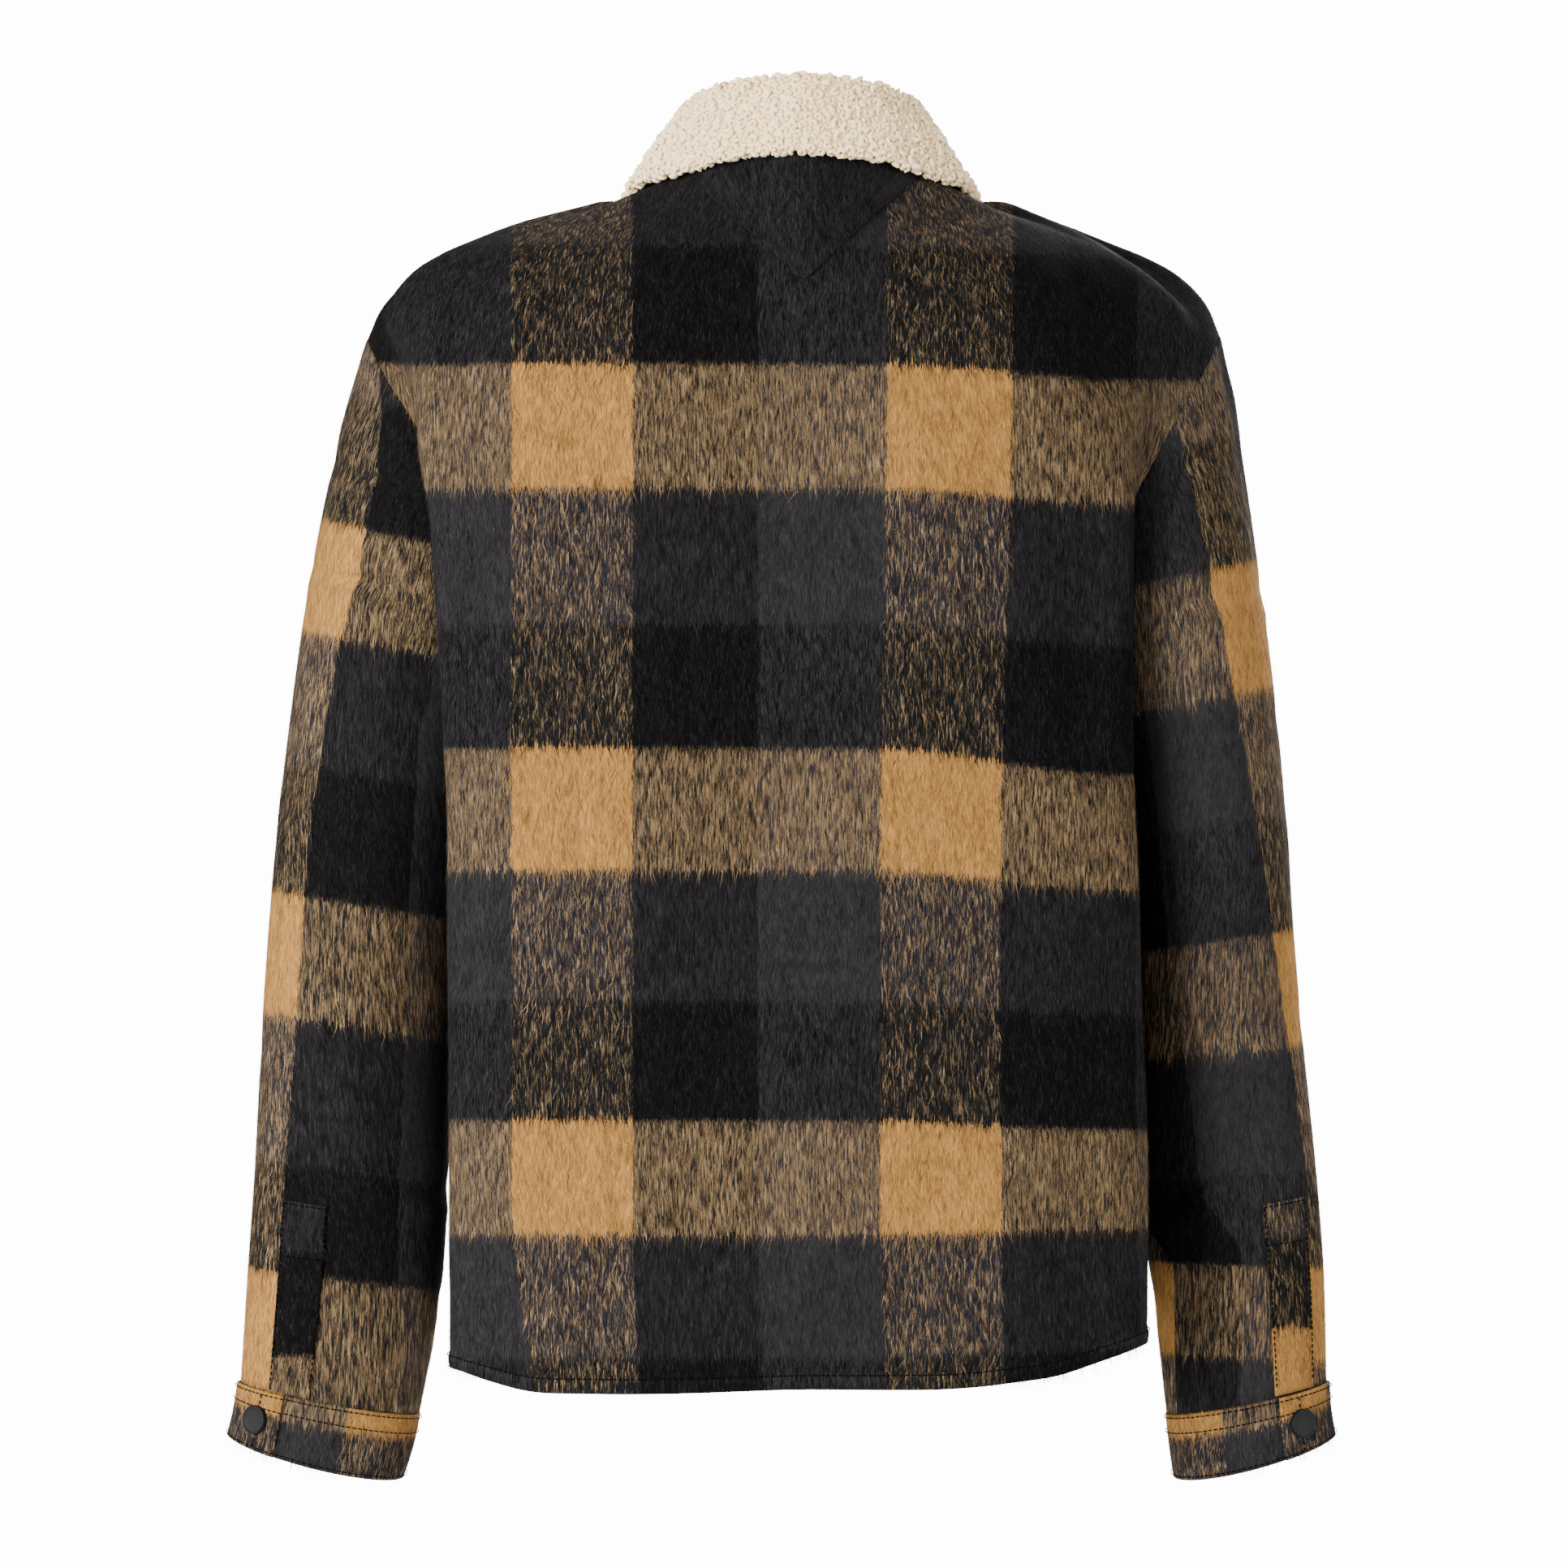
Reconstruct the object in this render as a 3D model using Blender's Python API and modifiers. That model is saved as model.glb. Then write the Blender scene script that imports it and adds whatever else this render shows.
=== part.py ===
"""Teddy collar overshirt in brushed check wool, in the hollow shape it has when worn.

Metres, +Z up, the front faces -Y. The origin is at the base of the neck, where the wearer
holds the garment. +X is the wearer's left. Every cut and sewn piece is its own closed wall.
"""

import math
from collections import namedtuple

import bmesh
import bpy
import numpy as np
from mathutils import Vector

COLLECTION = "teddy_collar_overshirt"

# Cloth, in metres.
WOOL_WALL = 0.0023
HEM_WALL = 0.0046
TEDDY_WALL = 0.0056
UNDER_COLLAR_WALL = 0.0016
PATCH_WALL = 0.0012
SEAM_GAP = 0.0003
LIE_GAP = 0.0005
COLLAR_GAP = 0.0007
HEM_DEPTH = 0.008
SEAM_SLACK = 0.00005
SHARP_ANGLE = math.radians(40)

# Front edge: the left front laps over the right one.
FRONT_LAP = 0.018
UNDER_LAP_DEPTH = 0.0049
UNDER_LAP_HEM_DEPTH = 0.0062
UNDER_LAP_NECK_DEPTH = 0.0072
UNDER_LAP_NECK_ROWS = 8
UNDER_LAP_REACH = 0.055
UNDER_LAP_FLAT = 0.026
FRONT_PLACKET_AT = (0.02, 1.0, 1.62)
FRONT_PLACKET_HEM_ROW = 0.1
FRONT_PLACKET_NECK_ROWS = 1.5
FRONT_SNAP_COLUMN = 1.0
FRONT_SNAP_COUNT = 7
FRONT_SNAP_TOP = -0.106
FRONT_SNAP_PITCH = 0.081

# Snap caps.
SNAP_RADIUS = 0.0085
SNAP_HEIGHT = 0.0026
SNAP_SIDE_HEIGHT = 0.0016
SNAP_DISH_HEIGHT = 0.0021
SNAP_RIM = 0.0016
SNAP_TURNS = 16
SNAP_MERGE = 0.00005

# Neck and shoulder seam, for the wearer's left side. The shoulder knots are x and z.
NECK_BACK = ((0.0, 0.058, 0.0240), (0.040, 0.046, 0.0190), (0.066, 0.018, 0.0100))
NECK_SIDE = (0.074, -0.010, 0.0030)
NECK_FRONT = (
    (-0.018, -0.0965, -0.0712),
    (0.000, -0.0990, -0.0750),
    (0.034, -0.0895, -0.0590),
    (0.062, -0.0580, -0.0310),
)
SHOULDER_Y = -0.012
SHOULDER_TIP_Y = -0.005
SHOULDER = (
    (0.1000, -0.0058),
    (0.1180, -0.0052),
    (0.1400, -0.0135),
    (0.1830, -0.0298),
    (0.2240, -0.0490),
    (0.2415, -0.0665),
)
HEM_LIFT_RIGHT = 0.018
HEM_LIFT_REACH = 0.30
HEM_LIFT_AT_BLADE = 0.3
HEM_LIFT_AT_CHEST = 0.5
HEM_CORNER_LEFT = 0.009
HEM_CORNER_RIGHT = 0.005
HEM_CORNER_REACH = 0.045
HEM_CORNER_HEIGHT = 0.06
NECK_LEAN = -0.0038
COLLAR_LEAN_SHARE = 0.9
LEAN_START_Z = -0.10
LEAN_REACH = 0.09

# Back, a row for each level from the hem up. The ridge is the drape fold that hangs beside the
# sleeve, and the side is the side seam, then the armhole. l and r are the wearer's sides.
Back = namedtuple(
    "Back", "z_mid y_mid blade_y rise ridge_l ridge_r ridge_y ridge_z side_l side_r side_y side_z dip"
)
BACK = (
    Back(-0.6815, 0.126, 0.121, -0.004, 0.1965, 0.1990, 0.072, -0.683, 0.1955, 0.1940, -0.004, -0.680, 0.006),
    Back(-0.625, 0.128, 0.123, -0.002, 0.1965, 0.1990, 0.078, -0.624, 0.1955, 0.1935, -0.002, -0.622, 0.007),
    Back(-0.560, 0.129, 0.124, 0.000, 0.1970, 0.1985, 0.082, -0.557, 0.1945, 0.1920, 0.000, -0.557, 0.008),
    Back(-0.490, 0.129, 0.125, 0.000, 0.1970, 0.1965, 0.085, -0.487, 0.1915, 0.1880, 0.000, -0.487, 0.009),
    Back(-0.420, 0.129, 0.126, 0.000, 0.1975, 0.1945, 0.088, -0.417, 0.1860, 0.1830, 0.000, -0.417, 0.010),
    Back(-0.345, 0.128, 0.126, 0.000, 0.1985, 0.1905, 0.090, -0.343, 0.1765, 0.1750, 0.000, -0.343, 0.011),
    Back(-0.270, 0.127, 0.127, 0.000, 0.2015, 0.1900, 0.092, -0.272, 0.1660, 0.1660, 0.000, -0.270, 0.012),
    Back(-0.225, 0.125, 0.127, 0.000, 0.2035, 0.1900, 0.092, -0.232, 0.1700, 0.1700, 0.040, -0.238, 0.009),
    Back(-0.175, 0.123, 0.126, 0.002, 0.2060, 0.1900, 0.090, -0.193, 0.1810, 0.1810, 0.060, -0.203, 0.006),
    Back(-0.125, 0.118, 0.121, 0.015, 0.2115, 0.1925, 0.084, -0.158, 0.2000, 0.1990, 0.064, -0.168, 0.005),
    Back(-0.080, 0.109, 0.105, 0.029, 0.2165, 0.1960, 0.073, -0.122, 0.2175, 0.2155, 0.057, -0.138, 0.004),
    Back(-0.040, 0.093, 0.073, 0.037, 0.2275, 0.2060, 0.050, -0.093, 0.2335, 0.2300, 0.038, -0.114, 0.003),
    Back(-0.008, 0.077, 0.030, 0.034, 0.2380, 0.2220, 0.022, -0.073, 0.2440, 0.2405, 0.017, -0.095, 0.002),
)
TIP_L = (0.2490, SHOULDER_TIP_Y, -0.086)
TIP_R = (0.2455, SHOULDER_TIP_Y, -0.084)
BLADE_SHARE = 0.50
VALLEY_SHARE = 0.55
UNDERARM_ROW = 6

# Fronts, on the same levels. Up to the underarm the side is the back's.
Front = namedtuple("Front", "z_mid y_mid chest_y flank_x flank_y rise side_x side_y side_z")
FRONT = (
    Front(-0.680, -0.140, -0.134, 0.174, -0.082, 0.000, None, None, None),
    Front(-0.622, -0.141, -0.135, 0.174, -0.084, 0.000, None, None, None),
    Front(-0.557, -0.141, -0.136, 0.172, -0.085, 0.000, None, None, None),
    Front(-0.487, -0.141, -0.136, 0.169, -0.086, 0.000, None, None, None),
    Front(-0.417, -0.140, -0.136, 0.164, -0.088, 0.000, None, None, None),
    Front(-0.343, -0.139, -0.136, 0.157, -0.090, 0.000, None, None, None),
    Front(-0.270, -0.137, -0.135, 0.151, -0.090, 0.000, None, None, None),
    Front(-0.232, -0.135, -0.133, 0.152, -0.093, 0.002, 0.169, -0.036, -0.240),
    Front(-0.197, -0.132, -0.130, 0.156, -0.096, 0.004, 0.176, -0.060, -0.208),
    Front(-0.165, -0.128, -0.124, 0.160, -0.097, 0.011, 0.186, -0.073, -0.176),
    Front(-0.138, -0.123, -0.108, 0.166, -0.091, 0.032, 0.200, -0.072, -0.147),
    Front(-0.116, -0.117, -0.082, 0.172, -0.069, 0.052, 0.219, -0.056, -0.120),
    Front(-0.096, -0.109, -0.048, 0.178, -0.040, 0.068, 0.238, -0.032, -0.100),
)
CHEST_X = 0.086
CHEST_SHARE = 0.45
FLANK_SHARE = 0.75

# Sleeves, a row for each ring below the armhole. The outer point is the arm's outer line, the
# inner point faces the body.
Ring = namedtuple("Ring", "outer_l outer_r outer_z inner_l inner_r inner_z y half_depth")
SLEEVE = (
    Ring(0.2595, 0.2547, -0.118, 0.1705, 0.1705, -0.285, -0.006, 0.075),
    Ring(0.2675, 0.2593, -0.152, 0.1745, 0.1740, -0.300, -0.007, 0.078),
    Ring(0.2765, 0.2650, -0.195, 0.1790, 0.1775, -0.320, -0.009, 0.079),
    Ring(0.2855, 0.2720, -0.245, 0.1845, 0.1825, -0.347, -0.012, 0.077),
    Ring(0.2940, 0.2795, -0.305, 0.1905, 0.1880, -0.385, -0.016, 0.073),
    Ring(0.3020, 0.2855, -0.370, 0.1955, 0.1915, -0.430, -0.021, 0.067),
    Ring(0.3080, 0.2905, -0.435, 0.1990, 0.1935, -0.480, -0.026, 0.061),
    Ring(0.3125, 0.2965, -0.500, 0.2015, 0.1965, -0.530, -0.030, 0.056),
    Ring(0.3160, 0.3035, -0.565, 0.2035, 0.2000, -0.582, -0.033, 0.051),
    Ring(0.3205, 0.3085, -0.628, 0.2070, 0.2080, -0.636, -0.035, 0.046),
    Ring(0.3245, 0.3100, -0.692, 0.2200, 0.2165, -0.711, -0.035, 0.041),
)
CUFF = (
    Ring(0.3240, 0.3095, -0.6925, 0.2195, 0.2160, -0.7115, -0.035, 0.0415),
    Ring(0.3265, 0.3105, -0.7085, 0.2235, 0.2180, -0.7305, -0.035, 0.0420),
    Ring(0.3300, 0.3130, -0.7225, 0.2290, 0.2205, -0.7480, -0.035, 0.0425),
)
RING_POINTS = 28
RINGS_TO_ROUND = 5
CUFF_BACK_DROP = 0.002
CUFF_LAP_START = 1.6
CUFF_LAP = {"left": 3.28, "right": 3.83}
CUFF_LAP_RISE_START = 3.0
CUFF_LAP_RISE_LENGTH = 2.6
CUFF_LAP_HEIGHT = 0.0032
CUFF_SNAP_ROW = 1.9
CUFF_SNAP_AT = {"left": 3.54, "right": 4.24}
PLACKET_AT = {"left": (4.0, 6.2), "right": (3.1, 5.7)}
PLACKET_RINGS = (18.5, 21.8)

# Collar, from the centre back to the front end. Each row has the neck seam, the roll on top and
# the free edge of the fall, on the outside of the pile.
Collar = namedtuple("Collar", "seam top edge roll")
COLLAR = (
    Collar((0.000, 0.0545, 0.0244), (0.000, 0.0660, 0.0610), (0.000, 0.0840, 0.0138), 0.0110),
    Collar((0.038, 0.0435, 0.0195), (0.038, 0.0540, 0.0585), (0.056, 0.0690, 0.0118), 0.0112),
    Collar((0.062, 0.0180, 0.0108), (0.061, 0.0250, 0.0530), (0.092, 0.0350, 0.0056), 0.0112),
    Collar((0.0705, -0.0100, 0.0045), (0.068, -0.0120, 0.0460), (0.1090, -0.0110, 0.0022), 0.0112),
    Collar((0.068, -0.0420, -0.0150), (0.063, -0.0480, 0.0230), (0.109, -0.0600, -0.0235), 0.0108),
    Collar((0.050, -0.0735, -0.0360), (0.046, -0.0810, -0.0130), (0.092, -0.1050, -0.0610), 0.0105),
    Collar((0.026, -0.0905, -0.0550), (0.026, -0.1000, -0.0390), (0.070, -0.1290, -0.0950), 0.0105),
    Collar((0.004, -0.0965, -0.0690), (0.007, -0.1070, -0.0520), (0.046, -0.1420, -0.1210), 0.0100),
)
COLLAR_STEPS = (2, 2, 3, 3, 2, 2, 2)
COLLAR_PATH_STEPS = (2, 2, 2, 3)
COLLAR_ROLL_DROP = 0.85

# Neck patch, a V of the same cloth below the collar.
PATCH_HALF_WIDTH = 0.064
PATCH_TIP_Z = -0.060
PATCH_TIP_WIDTH = 0.0015
PATCH_FIRST_ROW = 18
PATCH_SIDE_COLUMNS = 4
PATCH_TOP_SHORTER = 0.04
PATCH_PRISM_Y = (-0.05, 0.20)

# Samples between rows and columns of the tables.
ROW_STEPS = 2
BACK_STEPS = (4, 5, 3, 2)
FRONT_STEPS = (1, 3, 5, 4)
BACK_NECK_COLUMN = 5
FRONT_NECK_COLUMN = 4
LAP_CURVE_STEPS = 10
SHOULDER_CURVE_STEPS = 8
CLOSE_SAMPLES = 0.15

Panel = namedtuple("Panel", "points normals")


def side_sign(side):
    return 1.0 if side == "left" else -1.0


def pick(side, left_value, right_value):
    return left_value if side == "left" else right_value


def smooth_step(value):
    value = np.clip(value, 0.0, 1.0)
    return value * value * (3.0 - 2.0 * value)


def smooth_line(knots, steps):
    """Points on a smooth curve through the knots, steps[i] of them from knot i to the next."""
    knots = np.array(knots, float)
    chords = np.diff(knots, axis=0)
    lengths = np.linalg.norm(chords, axis=-1, keepdims=True)
    slopes = chords / lengths
    tangents = np.empty_like(knots)
    tangents[0], tangents[-1] = slopes[0], slopes[-1]
    both = lengths[:-1] + lengths[1:]
    tangents[1:-1] = (slopes[:-1] * lengths[1:] + slopes[1:] * lengths[:-1]) / both
    line = []
    for i, count in enumerate(steps):
        for step in range(count):
            u = step / count
            start = (2 * u**3 - 3 * u**2 + 1) * knots[i]
            end = (3 * u**2 - 2 * u**3) * knots[i + 1]
            leave = (u**3 - 2 * u**2 + u) * lengths[i] * tangents[i]
            arrive = (u**3 - u**2) * lengths[i] * tangents[i + 1]
            line.append(start + end + leave + arrive)
    line.append(knots[-1])
    return np.array(line)


def unit(vectors):
    return vectors / np.linalg.norm(vectors, axis=-1, keepdims=True)


def grid_normals(points, closed):
    """Unit normals of a grid of points, along the cross product of its rows and columns."""
    if closed:
        across = np.roll(points, -1, axis=1) - np.roll(points, 1, axis=1)
    else:
        across = np.gradient(points, axis=1)
    return unit(np.cross(np.gradient(points, axis=0), across))


def facing(points, outside, closed=False):
    """The grid as a panel, its normals turned to the side of the given point's direction."""
    normals = grid_normals(points, closed)
    middle = normals.shape[0] // 2, normals.shape[1] // 2
    if float(normals[middle] @ np.array(outside(points[middle]))) < 0:
        normals = -normals
    return Panel(points, normals)


def material(name, colour, roughness, metallic=0.0):
    made = bpy.data.materials.new(name)
    made.use_nodes = True
    shader = made.node_tree.nodes["Principled BSDF"]
    shader.inputs["Base Color"].default_value = (*colour, 1.0)
    shader.inputs["Roughness"].default_value = roughness
    shader.inputs["Metallic"].default_value = metallic
    made.diffuse_color = (*colour, 1.0)
    return made


def add_object(name, mesh_builder, made_of, collection):
    mesh = bpy.data.meshes.new(name)
    mesh_builder.to_mesh(mesh)
    mesh_builder.free()
    mesh.materials.append(made_of)
    mesh.shade_smooth()
    mesh.set_sharp_from_angle(angle=SHARP_ANGLE)
    made = bpy.data.objects.new(name, mesh)
    collection.objects.link(made)
    return made


def wall(name, panel, thickness, made_of, collection, lift=0.0, closed=False):
    """A closed cloth wall under a panel. thickness is a number or one for each row."""
    rows, columns = panel.points.shape[:2]
    depth = np.broadcast_to(np.asarray(thickness, float).reshape(-1, 1, 1), (rows, columns, 1))
    outer = panel.points + panel.normals * lift
    inner = outer - panel.normals * depth
    shape = bmesh.new()
    skins = []
    for layer in (outer, inner):
        skins.append([[shape.verts.new(point) for point in row] for row in layer])
    spans = columns if closed else columns - 1
    for skin in skins:
        for i in range(rows - 1):
            for j in range(spans):
                k = (j + 1) % columns
                shape.faces.new((skin[i][j], skin[i][k], skin[i + 1][k]))
                shape.faces.new((skin[i][j], skin[i + 1][k], skin[i + 1][j]))
    front, back = skins
    for i in (0, rows - 1):
        for j in range(spans):
            k = (j + 1) % columns
            shape.faces.new((front[i][j], back[i][j], back[i][k], front[i][k]))
    if not closed:
        for j in (0, columns - 1):
            for i in range(rows - 1):
                shape.faces.new((front[i][j], front[i + 1][j], back[i + 1][j], back[i][j]))
    bmesh.ops.recalc_face_normals(shape, faces=shape.faces)
    return add_object(name, shape, made_of, collection)


def at(grid, row, column):
    """A value between the grid's points, on the same two triangles as the wall's."""
    i = min(int(row), grid.shape[0] - 2)
    j = min(int(column), grid.shape[1] - 2)
    u, v = row - i, column - j
    here, far = grid[i, j], grid[i + 1, j + 1]
    if u <= v:
        return here + v * (grid[i, j + 1] - here) + u * (far - grid[i, j + 1])
    return here + u * (grid[i + 1, j] - here) + v * (far - grid[i + 1, j])


def piece_on(panel, rows, columns):
    """A panel laid on another one, at rows and columns that may fall between its points."""
    points = np.array([[at(panel.points, i, j) for j in columns] for i in rows])
    normals = np.array([[at(panel.normals, i, j) for j in columns] for i in rows])
    return Panel(points, unit(normals))


def shoulder_knots(side):
    """The shoulder seam from the side of the neck to the shoulder tip."""
    tip = pick(side, TIP_L, TIP_R)
    reach = tip[0] / TIP_L[0]
    knots = [NECK_SIDE]
    knots += [(x * reach, SHOULDER_Y, z) for x, z in SHOULDER]
    knots.append(tip)
    return knots


def top_line(neck_knots, neck_steps, side_steps, side):
    """The neck edge, then the shoulder seam."""
    neck = smooth_line(neck_knots, neck_steps)
    dense = smooth_line(shoulder_knots(side), [SHOULDER_CURVE_STEPS] * (len(SHOULDER) + 1))
    along = np.concatenate(([0.0], np.cumsum(np.linalg.norm(np.diff(dense, axis=0), axis=1))))
    wanted = np.linspace(0.0, along[-1], side_steps + 1)
    seam = np.stack([np.interp(wanted, along, dense[:, axis]) for axis in range(3)], axis=1)
    return np.concatenate((neck[:-1], seam))


def hem_lift(side, row, share):
    """How much the hem rises towards the wearer's right side."""
    if side == "left":
        return 0.0
    height = (row.z_mid - BACK[0].z_mid) / HEM_LIFT_REACH
    return HEM_LIFT_RIGHT * smooth_step(share) * smooth_step(1.0 - height)


def side_point(row, side):
    lift = hem_lift(side, row, 1.0)
    return np.array((pick(side, row.side_l, row.side_r), row.side_y, row.side_z + lift))


def with_hem_corner(points, side):
    """The points, with the hem turned up a little towards the side seam."""
    from_seam = points[:, -1:, 0] - points[..., 0]
    above_hem = points[..., 2] - points[:1, :, 2]
    share = smooth_step(1.0 - from_seam / HEM_CORNER_REACH) * smooth_step(1.0 - above_hem / HEM_CORNER_HEIGHT)
    points[..., 2] += pick(side, HEM_CORNER_LEFT, HEM_CORNER_RIGHT) * share
    return points


def back_half(side):
    """Half of the back, from its centre to the side seam and armhole, mirrored to +X."""
    lines = []
    for row in BACK:
        ridge_x = pick(side, row.ridge_l, row.ridge_r)
        blade_x = BLADE_SHARE * ridge_x
        blade_z = row.z_mid + (row.side_z - row.z_mid) * BLADE_SHARE + row.rise
        ridge = np.array((ridge_x, row.ridge_y, row.ridge_z + hem_lift(side, row, 1.0)))
        seam = side_point(row, side)
        chord = seam - ridge
        inward = unit(np.array((chord[1], -chord[0], 0.0)))
        valley = ridge + VALLEY_SHARE * chord + inward * row.dip
        blade = (blade_x, row.blade_y, blade_z + hem_lift(side, row, HEM_LIFT_AT_BLADE))
        lines.append(smooth_line([(0.0, row.y_mid, row.z_mid), blade, ridge, valley, seam], BACK_STEPS))
    neck = [*NECK_BACK, NECK_SIDE]
    lines.append(top_line(neck, (2, 2, 1), sum(BACK_STEPS) - BACK_NECK_COLUMN, side))
    return with_hem_corner(lofted(lines), side)


def front_half(side):
    """Half of the front, from past its centre to the side seam and armhole, mirrored to +X."""
    lines = []
    for row, back_row in zip(FRONT, BACK):
        seam = side_point(back_row, side)
        if row.side_x is not None:
            seam = np.array((row.side_x, row.side_y, row.side_z))
        lift = hem_lift(side, back_row, HEM_LIFT_AT_CHEST)
        fall = seam[2] - row.z_mid
        chest_z = row.z_mid + fall * CHEST_SHARE + row.rise + lift
        flank_z = row.z_mid + fall * FLANK_SHARE + row.rise * FLANK_SHARE + lift
        centre = (0.0, row.y_mid, row.z_mid)
        chest = (CHEST_X, row.chest_y, chest_z)
        both = [(-CHEST_X, row.chest_y, chest_z), centre, chest]
        across = smooth_line(both, (LAP_CURVE_STEPS, LAP_CURVE_STEPS))[LAP_CURVE_STEPS:]
        lap = [float(np.interp(FRONT_LAP, across[:, 0], across[:, axis])) for axis in (1, 2)]
        knots = [(-FRONT_LAP, *lap), centre, chest, (row.flank_x, row.flank_y, flank_z), seam]
        lines.append(smooth_line(knots, FRONT_STEPS))
    neck = [*NECK_FRONT, NECK_SIDE]
    lines.append(top_line(neck, (1, 1, 1, 1), sum(FRONT_STEPS) - FRONT_NECK_COLUMN, side))
    return with_hem_corner(lofted(lines), side)


def lofted(lines):
    """A grid through the level lines. Its side seam and its armhole are two separate curves."""
    points = smooth_line(lines, [ROW_STEPS] * (len(lines) - 1))
    ends = [line[-1] for line in lines]
    first = UNDERARM_ROW * ROW_STEPS
    points[: first + 1, -1] = smooth_line(ends[: UNDERARM_ROW + 1], [ROW_STEPS] * UNDERARM_ROW)
    armhole_spans = len(lines) - 1 - UNDERARM_ROW
    points[first:, -1] = smooth_line(ends[UNDERARM_ROW:], [ROW_STEPS] * armhole_spans)
    return points


def tuck_under(panel):
    """Moves the right front's edge in under the left one, deeper over the double hem."""
    share = (UNDER_LAP_REACH - np.abs(panel.points[..., 0])) / (UNDER_LAP_REACH - UNDER_LAP_FLAT)
    depth = np.full(panel.points.shape[0], UNDER_LAP_DEPTH)
    depth[0] = UNDER_LAP_HEM_DEPTH
    neck = np.linspace(UNDER_LAP_DEPTH, UNDER_LAP_NECK_DEPTH, UNDER_LAP_NECK_ROWS)
    depth[-UNDER_LAP_NECK_ROWS:] = neck
    panel.points[...] -= panel.normals * (depth[:, None] * smooth_step(share))[..., None]


def armhole(back, front):
    """The closed armhole line, mirrored to +X: tip, down the back, underarm, up the front."""
    first = UNDERARM_ROW * ROW_STEPS
    down = back[first:, -1][::-1]
    up = front[first:, -1]
    return np.concatenate((down, up[1:-1]))


def ring_frame(row, side):
    outer = np.array((pick(side, row.outer_l, row.outer_r), row.y, row.outer_z))
    inner = np.array((pick(side, row.inner_l, row.inner_r), row.y, row.inner_z))
    return (outer + inner) / 2, (outer - inner) / 2


def circle_shares():
    angles = np.arange(RING_POINTS) * (2 * math.pi / RING_POINTS)
    return np.cos(angles), np.sin(angles)


def sleeve_rings(loop, side):
    """The sleeve's rings, mirrored to +X. The first follows the armhole, the rest turn round."""
    outward, backward = circle_shares()
    centre = (loop[0] + loop[RING_POINTS // 2]) / 2
    arm = (loop[0] - loop[RING_POINTS // 2]) / 2
    half = (loop[:, 1].max() - loop[:, 1].min()) / 2
    centre[1] = (loop[:, 1].max() + loop[:, 1].min()) / 2
    offset = loop - centre
    loop_out = offset @ arm / (arm @ arm)
    loop_back = offset[:, 1] / half
    across = unit(np.cross(arm, (0.0, 1.0, 0.0)))
    loop_off = offset @ across
    rings = [loop]
    for index, row in enumerate(SLEEVE):
        middle, reach = ring_frame(row, side)
        blend = smooth_step((index + 1) / RINGS_TO_ROUND)
        out = loop_out * (1 - blend) + outward * blend
        back = loop_back * (1 - blend) + backward * blend
        rings.append(
            middle
            + out[:, None] * reach
            + back[:, None] * np.array((0.0, row.half_depth, 0.0))
            + (loop_off * (1 - blend))[:, None] * across
        )
    return smooth_line(rings, [ROW_STEPS] * len(SLEEVE))


def cuff_rings(side):
    """The cuff band, mirrored to +X. Its end laps over its start."""
    count = RING_POINTS + 3
    turns = CUFF_LAP_START + np.linspace(0.0, RING_POINTS + CUFF_LAP[side], count)
    angles = turns * (2 * math.pi / RING_POINTS)
    past = turns - CUFF_LAP_START - RING_POINTS + CUFF_LAP_RISE_START
    lap = CUFF_LAP_HEIGHT * smooth_step(past / CUFF_LAP_RISE_LENGTH)
    rings = []
    for index, row in enumerate(CUFF):
        middle, reach = ring_frame(row, side)
        length = np.linalg.norm(reach)
        out = np.cos(angles)[:, None] * reach * (1 + lap[:, None] / length)
        back = np.sin(angles) * (row.half_depth + lap)
        drop = -CUFF_BACK_DROP * index * np.sin(angles)
        rings.append(middle + out + np.stack((0 * back, back, drop), axis=1))
    return smooth_line(rings, (2, 2))


def mirrored(points):
    return points * np.array((-1.0, 1.0, 1.0))


def placed(points, side):
    return points if side == "left" else mirrored(points)


def leaning(points):
    """The points, with the neck a little towards the wearer's right, as it hangs."""
    moved = points.copy()
    moved[..., 0] += NECK_LEAN * smooth_step((points[..., 2] - LEAN_START_Z) / LEAN_REACH)
    return moved


def away_from_axis(point):
    return (point[0], point[1], 0.0)


def armhole_direction(loop):
    """The shared direction of the walls at the armhole: round from its middle."""
    middle = (loop[0] + loop[RING_POINTS // 2]) / 2
    spokes = loop - middle
    spokes[:, 0] = 0.0
    return unit(spokes)


def share_normals(*edges):
    """Gives the walls that meet at a seam one direction, so that their edges lie side by side."""
    total = sum(panel.normals[index] for panel, index in edges)
    for panel, index in edges:
        panel.normals[index] = unit(total)


def shift(panel, index, vector):
    panel.points[index] += np.array(vector)


def body_panels():
    """The back, both fronts and both sleeves as panels, joined at their seams."""
    halves = {side: back_half(side) for side in ("left", "right")}
    back_points = np.concatenate((mirrored(halves["right"])[:, :0:-1], halves["left"]), axis=1)
    panels = {"back": facing(back_points, away_from_axis)}
    loops = {}
    for side in ("left", "right"):
        front = front_half(side)
        loops[side] = armhole(halves[side], front)
        panels["front_" + side] = facing(placed(front, side), away_from_axis)
        if side == "right":
            tuck_under(panels["front_right"])
        rings = placed(sleeve_rings(loops[side], side), side)
        arm = rings.mean(axis=1)
        panels["sleeve_" + side] = facing(
            rings, lambda point, arm=arm: point - arm[len(arm) // 2], closed=True
        )
    for side in ("left", "right"):
        sew_side(panels, side, placed(loops[side].copy(), side))
    for panel in panels.values():
        panel.points[...] = leaning(panel.points)
    return panels


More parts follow.
